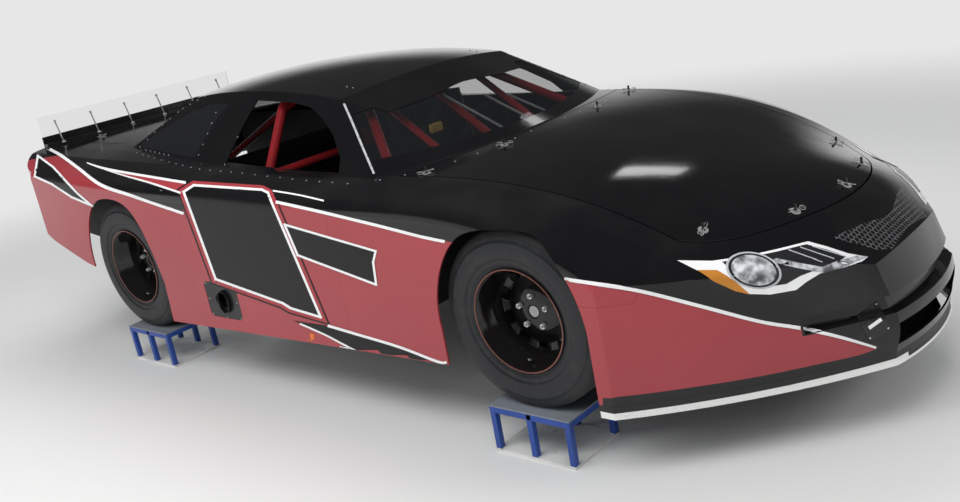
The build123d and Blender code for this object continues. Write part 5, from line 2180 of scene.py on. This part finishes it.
@dataclass
class Engine:
    """A V8 under the hood: block, heads, covers, intake, air cleaner, pulleys and headers."""

    rear: float = 0.705
    front: float = 1.29
    low: float = 0.33
    lean: float = 40.0
    pulleys: tuple[Point, ...] = (
        (0.0, 0.43, 0.085), (0.0, 0.56, 0.062), (-0.15, 0.5, 0.05), (0.15, 0.5, 0.045)
    )

    def build(self) -> None:
        """Makes the engine in place of its node."""
        mid = (self.rear + self.front) / 2
        rear, front, low = self.rear, self.front, self.low
        pieces = [block(f"engine_{name}", start, end, finish, bevel) for name, start, end, finish, bevel in (
            ("crankcase", (rear, -0.125, low + 0.07), (front - 0.02, 0.125, 0.55), IRON, 0.02),
            ("sump", (rear + 0.03, -0.11, low), (front - 0.09, 0.11, low + 0.08), SHEET_METAL, 0.018),
            ("intake", (rear + 0.09, -0.075, 0.56), (front - 0.11, 0.075, 0.655), SHEET_METAL, 0.016),
            ("carburettor", (mid - 0.07, -0.055, 0.65), (mid + 0.07, 0.055, 0.72), BRASS, 0.008),
        )]
        for sign in (-1, 1):
            turn = Matrix.Rotation(math.radians(-sign * self.lean), 3, "X")
            for name, across, height, wide, tall, finish, bevel, trim in (
                ("head", 0.14, 0.565, 0.13, 0.085, IRON, 0.01, 0.0),
                ("cover", 0.185, 0.622, 0.105, 0.055, CHROME, 0.02, 0.012),
            ):
                start = (rear + 0.02 + trim, sign * across - wide / 2, height - tall / 2)
                end = (front - 0.03 - trim, sign * across + wide / 2, height + tall / 2)
                pieces.append(block(f"engine_{name}_{sign}", start, end, finish, bevel, turn))
            for k in range(4):
                x = rear + 0.09 + 0.135 * k
                run = [(px, sign * across, height) for px, across, height in (
                    (x, 0.19, 0.54), (x, 0.235, 0.525), (x - 0.02, 0.238, 0.45), (rear + 0.09, 0.232, 0.375),
                )]
                pieces.append(tube(f"engine_header_{sign}_{k}", run, 0.0165, HEAT, 0.05, 12))
        cleaner = [
            (0.0, 0.0), (0.0, 0.175), (0.008, 0.178), (0.014, 0.172), (0.016, 0.16), (0.06, 0.16),
            (0.062, 0.172), (0.068, 0.178), (0.075, 0.172), (0.079, 0.06), (0.081, 0.02), (0.083, 0.0),
        ]
        lid = lathe("engine_air_cleaner", cleaner, CHROME, 64, False)
        pieces.append(moved(lid, Matrix.Translation((mid, 0, 0.722)) @ UPRIGHT))
        for k, (y, z, radius) in enumerate(self.pulleys):
            groove = [
                (0.0, 0.0), (0.0, radius * 0.9), (0.004, radius), (0.01, radius * 0.92),
                (0.016, radius * 0.92), (0.022, radius), (0.026, radius * 0.9), (0.02, radius * 0.4),
                (0.028, 0.012), (0.028, 0.0),
            ]
            pulley = lathe(f"engine_pulley_{k}", groove, STEEL, 40, False)
            pieces.append(moved(pulley, Matrix.Translation((front, y, z))))
            pieces.append(tube(
                f"engine_shaft_{k}", ((front - 0.05, y, z), (front + 0.004, y, z)), 0.02, IRON
            ))
        settle(join("racing_engine", pieces), Body.CAR, ["engine_block"])


@dataclass
class FuelCell:
    """The strapped fuel tank behind the axle."""

    low: Point = (-2.245, -0.405, 0.496)
    high: Point = (-1.705, 0.405, 0.672)

    def build(self) -> None:
        """Makes the tank in place of its node."""
        pieces = [block("cell_can", self.low, self.high, FRAME_BLACK, 0.03)]
        for k, y in enumerate((-0.25, 0.25)):
            start = (self.low[0] - 0.002, y - 0.019, self.low[2] - 0.002)
            end = (self.high[0] + 0.002, y + 0.019, self.high[2] + 0.003)
            pieces.append(block(f"cell_strap_{k}", start, end, STEEL, 0.03))
        wall = [
            (0.0, 0.0), (0.0, 0.062), (0.004, 0.062), (0.004, 0.05), (0.02, 0.047), (0.023, 0.042),
            (0.024, 0.0)
        ]
        cap = lathe("cell_cap", wall, CHROME, 40, False)
        pieces.append(moved(cap, Matrix.Translation((self.low[0] + 0.2, 0, self.high[2] - 0.001)) @ UPRIGHT))
        settle(join("strapped_fuel_cell", pieces), Body.CAR, ["fuel_cell"])


@dataclass
class Cabin:
    """The padded seat, its harness, the dials and the rear tubs."""

    frame: dict
    voxel: float = 0.009
    swell: float = 0.007
    frames: int = 14
    pressure: float = 4.0
    middle: float = 0.3
    ridge_gap: float = 0.085
    ridge_half: float = 0.17
    ridge_depth: float = 0.004
    tub_y: float = 0.672
    tub: Outline = (
        (-0.858, 0.43), (-0.858, 1.0), (-1.3, 1.02), (-2.28, 1.02), (-2.39, 0.93), (-2.39, 0.6), (-2.1, 0.56),
        (-1.5, 0.54), (-1.47, 0.635), (-1.06, 0.635), (-0.98, 0.6),
    )
    straps: tuple[tuple[Outline, float], ...] = (
        (((0.245, 1.06), (0.25, 0.95), (0.265, 0.82), (0.29, 0.7)), 0.05),
        (((0.355, 1.06), (0.35, 0.95), (0.335, 0.82), (0.31, 0.7)), 0.05),
        (((0.12, 0.6), (0.2, 0.65), (0.29, 0.68)), 0.048),
        (((0.48, 0.6), (0.4, 0.65), (0.31, 0.68)), 0.048),
    )
    dials: tuple[Point, ...] = (
        (0.3, 0.868, 0.045), (0.19, 0.858, 0.029), (0.41, 0.858, 0.029), (0.5, 0.85, 0.026),
        (0.1, 0.85, 0.026)
    )

    def build(self) -> None:
        """Makes every inner piece."""
        self.seat()
        self.harness()
        self.gauges()
        self.tubs()

    def seat(self) -> None:
        """Swells the seat's solid into a padded cover with cloth pressure, with its swell capped."""
        source = self.frame["nodes"]["seat"]
        cover = placed("padded_seat", source.data.copy())
        recalculated(cover, 1e-5)
        remesh = cover.modifiers.new("even_cloth", "REMESH")
        remesh.mode, remesh.voxel_size = "VOXEL", self.voxel
        applied(cover)
        normals = [v.normal.copy() for v in cover.data.vertices]
        for vert, normal in zip(cover.data.vertices, normals):
            vert.co -= normal * (self.swell * 0.8)
        start = [v.co.copy() for v in cover.data.vertices]
        cloth = cover.modifiers.new("padding", "CLOTH")
        cloth.settings.use_pressure = True
        cloth.settings.uniform_pressure_force = self.pressure
        cloth.settings.effector_weights.gravity = 0.0
        cloth.point_cache.frame_end = self.frames
        for frame in range(1, self.frames + 1):
            bpy.context.scene.frame_set(frame)
        applied(cover)
        bpy.context.scene.frame_set(1)
        for vert, before in zip(cover.data.vertices, start):
            shift = vert.co - before
            if shift.length > self.swell:
                vert.co = before + shift.normalized() * self.swell
        for vert in cover.data.vertices:
            along = vert.co.z * 0.9 - vert.co.x * 0.35
            ridge = max(0.0, math.cos(along * 2 * math.pi / self.ridge_gap)) ** 8
            share = 1.0 if abs(vert.co.y - self.middle) < self.ridge_half else 0.2
            vert.co -= vert.normal * self.ridge_depth * ridge * share
        cover.data.materials.clear()
        cover.data.materials.append(SEAT_CLOTH.material())
        cover.data.shade_smooth()
        fine = cover.modifiers.new("smooth", "SUBSURF")
        fine.levels = fine.render_levels = 1
        applied(cover)
        settle(cover, Body.CAR, ["seat"])

    def harness(self) -> None:
        """Lays shoulder and lap straps on the seat, with a cam buckle."""
        skin = Skin(self.frame, ["seat"])
        pieces = []
        for k, (line, width) in enumerate(self.straps):
            strap = drape(
                f"harness_{k}", ribbon(smooth_line(line, 4), width), skin.from_front, STRAP, 0.03, 0.006
            )
            thick = strap.modifiers.new("web", "SOLIDIFY")
            thick.thickness, thick.offset = 0.0025, 1.0
            pieces.append(applied(strap))
        place, normal = skin.from_front((self.middle, 0.685))
        wall = [
            (0.0, 0.0), (0.0, 0.028), (0.008, 0.03), (0.013, 0.026), (0.014, 0.012), (0.018, 0.01),
            (0.018, 0.0)
        ]
        buckle = lathe("harness_buckle", wall, CHROME, 32, False)
        moved(buckle, stood(place + normal * 0.01, normal))
        settle(join("seat_harness", [*pieces, buckle]), Body.CAR)

    def gauges(self) -> None:
        """Sets dials with bezels in the dash, facing the driver."""
        skin = Skin(self.frame, ["dash_panel"])
        pieces = []
        for k, (y, z, radius) in enumerate(self.dials):
            place, _ = skin.hit(Vector((-1.0, y, z)), Vector((1, 0, 0)))
            bezel = [
                (0.0, radius), (0.012, radius), (0.014, radius - 0.002), (0.012, radius - 0.005),
                (0.006, radius - 0.006), (0.0, radius - 0.006)
            ]
            face = [(0.0, 0.0), (0.0, radius - 0.005), (0.004, radius - 0.005), (0.004, 0.0)]
            back = Matrix.Translation(place) @ Matrix.Rotation(math.pi, 4, "Z")
            pieces.append(moved(lathe(f"dial_bezel_{k}", bezel, CHROME, 36), back))
            pieces.append(moved(lathe(f"dial_face_{k}", face, DIAL, 36, False), back))
            tip = (0.0055, (radius - 0.012) * math.cos(2.2 + k), (radius - 0.012) * math.sin(2.2 + k))
            pieces.append(moved(tube(f"dial_needle_{k}", ((0.005, 0, 0), tip), 0.0009, STEEL, sides=6), back))
        settle(join("dash_dials", pieces), Body.CAR)

    def tubs(self) -> None:
        """Closes the rear wheel spaces off with black sheets, whose black is partly painted shade under the
        fender lips.
        """
        pieces = []
        for sign in (-1, 1):
            face, back = sign * self.tub_y, sign * (self.tub_y - 0.0025)
            pieces.append(sheet(
                f"tub_{sign}", self.tub, lambda u, v, f=face, b=back: ((u, f, v), (u, b, v)), SHADE_BLACK
            ))
        settle(join("rear_wheel_tubs", pieces), Body.CAR)


# the nose and the glass


@dataclass
class Nose:
    """Mesh print, riveted corner plate with its white bar, and the screen behind the slot."""

    skin: Skin
    mesh_area: Outline = (
        (832, 238), (846, 231), (862, 224), (884, 217), (897, 208), (906, 196), (914, 206), (910, 224),
        (892, 249), (878, 250), (852, 243)
    )
    plate: Outline = ((856, 316), (877, 301), (891, 329), (869, 341))
    bar: Outline = ((867.5, 326.5), (880, 317.5), (882, 320.5), (869.5, 329.5))
    screen_x: float = 2.34
    slot_half: float = 0.33
    slot_low: float = 0.262
    slot_high: float = 0.436
    plate_rivets: Outline = ((859, 317), (876, 304), (888, 328), (870, 338))
    pan: Outline = (
        (2.1, -0.45), (2.26, -0.44), (2.35, -0.34), (2.42, -0.2), (2.44, 0.0), (2.42, 0.2), (2.35, 0.34),
        (2.26, 0.44), (2.1, 0.45)
    )

    def build(self) -> None:
        """Lays everything on both sides of the nose."""
        self.mesh()
        sight = self.skin.sighted
        pieces = [
            drape("fascia_plate", self.plate, sight, DASH, 4.0, FILM * 3),
            drape("fascia_bar", self.bar, sight, WHITE_FILM, 4.0, FILM * 4.5),
        ]
        rivets = rivet_tree("fascia_rivets", 0.0045, 0.0026, CHROME).grow(
            "fascia_rivets", other_side([sight(p) for p in self.plate_rivets])
        )
        settle(join("fascia_fittings", [*[both(piece) for piece in pieces], rivets]), Body.CAR)
        self.screen()

    def mesh(self) -> None:
        """Lays the mesh print over the front of the nose."""
        settle(
            both(drape("nose_mesh_print", self.mesh_area, self.skin.sighted, MESH_PRINT, 3.0, FILM * 1.5)),
            Body.CAR
        )

    def screen(self) -> None:
        """Sets a dark screen with bars behind the slot, with a pan under it and a wall at each end; the black
        back, pan and walls are painted shade inside the slot.
        """
        x, half, low, high = self.screen_x, self.slot_half, self.slot_low, self.slot_high
        pieces = [
            # Black back, pan and end walls: painted shade inside the slot; the bars and slats are the grille.
            block("screen_back", (x - 0.005, -half, low), (x, half, high), SHADE_BLACK, 0.001),
            sheet("screen_pan", self.pan, lambda u, v: ((u, v, low), (u, v, low + 0.003)), SHADE_BLACK),
        ]
        for sign in (-1, 1):
            start, end = (x - 0.09, sign * half - 0.0015, low), (x + 0.002, sign * half + 0.0015, high)
            pieces.append(block(f"screen_end_{sign}", start, end, SHADE_BLACK, 0.0005))
        for k in range(-16, 17):
            start, end = (x + 0.001, k * 0.02 - 0.003, low + 0.005), (
                x + 0.009, k * 0.02 + 0.003, high - 0.005
            )
            pieces.append(block(f"screen_bar_{k}", start, end, DASH, 0.0008))
        for k in range(6):
            z = low + 0.02 + k * 0.027
            pieces.append(block(
                f"screen_slat_{k}", (x + 0.008, -half, z), (x + 0.014, half, z + 0.004), DASH, 0.0008
            ))
        settle(join("nose_screen", pieces), Body.CAR)


@dataclass
class Glass:
    """Sun strip, braces, edge trim and rivets of the windshield, and the spoiler's stays."""

    house: Skin
    banner: Outline = (
        (342, 101), (352, 115), (380, 105), (412, 95), (442, 87), (470, 80), (500, 74), (521, 68), (503, 54),
        (470, 61), (420, 75), (380, 87)
    )
    braces: tuple[tuple[Pixel, Pixel], ...] = (
        ((444, 89), (514, 127)), ((486, 89), (540, 117)), ((508, 88), (557, 109))
    )
    post_edge: Outline = ((344, 104), (352, 122), (362, 146), (374, 174))
    roof_rivets: Outline = ((347, 87), (353, 88))
    quarter_low: Outline = ((146, 150), (168, 155), (190, 160))
    quarter_front: Outline = ((199, 155), (207, 136), (218, 108))
    stays: tuple[float, ...] = (-0.6, -0.36, -0.12, 0.12, 0.36, 0.6)
    stay_foot: Flat = (-2.405, 1.142)
    stay_top: Flat = (-2.4475, 1.272)

    def build(self) -> None:
        """Lays the films, sets the rods and the mirror's bracket, and grows the rivets."""
        sight = self.house.sighted
        film = [
            both(drape("sun_strip", self.banner, sight, BANNER, 5.0, FILM * 2)),
            both(drape(
                "shield_post_trim", ribbon(smooth_line(self.post_edge, 5), 2.2), sight, LAMP_SILVER, 8.0,
                FILM * 2.6
            )),
        ]
        settle(join("windshield_trim", film), Body.CAR)
        rods = []
        for k, (top, foot) in enumerate(self.braces):
            ends = []
            for pixel in (top, foot):
                place, normal = sight(pixel)
                ends.append(place - normal * 0.03)
            rods.append(tube(f"shield_brace_{k}", ends, 0.006, SHEET_METAL, sides=10))
        rods.append(self.mirror(sight))
        settle(join("windshield_braces", rods), Body.CAR)
        heads = other_side([
            *spaced(self.post_edge, sight, 0.06), *[sight(p) for p in self.roof_rivets],
            *spaced(self.quarter_low, sight, 0.055), *spaced(self.quarter_front, sight, 0.055),
        ])
        lifted = [(p + n * FILM * 3, n) for p, n in heads]
        shield = rivet_tree("shield_rivets", 0.004, 0.0022, CHROME).grow("shield_rivets", lifted)
        settle(shield, Body.CAR)
        self.spoiler()

    def mirror(self, sight: Caster) -> Piece:
        """A small brass-coloured bracket behind the glass.

        Args:
            sight: Gives the glass behind a pixel.

        Returns:
            The bracket.
        """
        place, normal = sight((438, 110))
        middle = place - normal * 0.09
        half = Vector((0.012, 0.035, 0.02))
        return block("mirror_bracket", tuple(middle - half), tuple(middle + half), BRASS, 0.006)

    def spoiler(self) -> None:
        """Stands stays with ball heads and round feet in front of the blade."""
        bead = [(-0.009, 0.0), (-0.0064, 0.0064), (0.0, 0.009), (0.0064, 0.0064), (0.009, 0.0)]
        washer = [(0.0, 0.0), (0.0, 0.014), (0.004, 0.013), (0.01, 0.007), (0.011, 0.0)]
        pieces = []
        for k, y in enumerate(self.stays):
            foot, top = (self.stay_foot[0], y, self.stay_foot[1]), (self.stay_top[0], y, self.stay_top[1])
            pieces.append(tube(f"stay_{k}", (foot, top), 0.0045, SHEET_METAL, sides=8))
            ball = lathe(f"stay_ball_{k}", bead, CHROME, 16, False)
            pieces.append(moved(ball, Matrix.Translation(top)))
            cup = lathe(f"stay_foot_{k}", washer, CHROME, 16, False)
            pieces.append(moved(cup, Matrix.Translation((foot[0], y, 1.141)) @ UPRIGHT))
        settle(join("spoiler_stays", pieces), Body.CAR)


def side_paint(skin: Skin) -> Finish:
    """The side panels' paint, whose two colours meet under the white stripes.

    Args:
        skin: The skin that the stripes lie on.

    Returns:
        The paint.
    """

    def followed(line: Sequence[Pixel], start: float) -> list[Flat]:
        """A line of pixels as places on the skin, each further along the car than the last.

        Args:
            line: The line's pixels.
            start: The place along the car that it starts behind.

        Returns:
            The line's places along the car and heights.
        """
        run: list[Flat] = []
        for pixel in smooth_line(line, 2):
            place, _ = skin.sighted(pixel)
            if place.x > (run[-1][0] if run else start) + 0.002:
                run.append((round(place.x, 4), round(place.z, 4)))
        return run

    tail = (*TAIL_EDGE, *followed(TAIL_LINE[1:], TAIL_EDGE[-1][0]))
    door = followed(DOOR_LINE, tail[-1][0])
    top = followed(NOSE_LINE, FENDER_LINE[-1][0])
    floor = followed(NOSE_FLOOR, FENDER_LINE[-1][0])
    line = (*tail, (tail[-1][0] + 0.02, door[0][1]), *door, *FENDER_LINE, *top, (top[-1][0] + 0.006, 0.0))
    return TwoTonePaint(
        "red_and_black_side_paint", RED, dust=0.04, line=line, floor_line=((floor[0][0] - 0.05, 0.1), *floor)
    )


def main() -> None:
    """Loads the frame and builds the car's looks in order."""
    logging.basicConfig(level=logging.INFO, format="%(message)s")
    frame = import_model()
    Studio().build()
    outer = ("nose", "fender", "door", "quarter_r", "quarter_l", "tail", "rear_deck", "cowl")
    panels = [name for name in frame["nodes"] if name.startswith(outer)]
    skin = Skin(frame, [*panels, "hood", "deck_lid", "exhaust_outlet"])
    house = Skin(frame, ["roof", "windshield", "rear_window", "quarter_window_right", "quarter_window_left"])
    NodeFinishes(side_paint(skin)).dress(frame)
    Livery(skin).build()
    HeadLamp(skin).build()
    for axle in AXLES:
        for side in SIDES:
            Wheel(axle, side).build()
            Stand(axle, side).build()
    HoodPins(skin).build()
    Rivets(skin, house).build()
    Nose(skin).build()
    Glass(house).build()
    Engine().build()
    FuelCell().build()
    Cabin(frame).build()


if __name__ == "__main__":
    main()
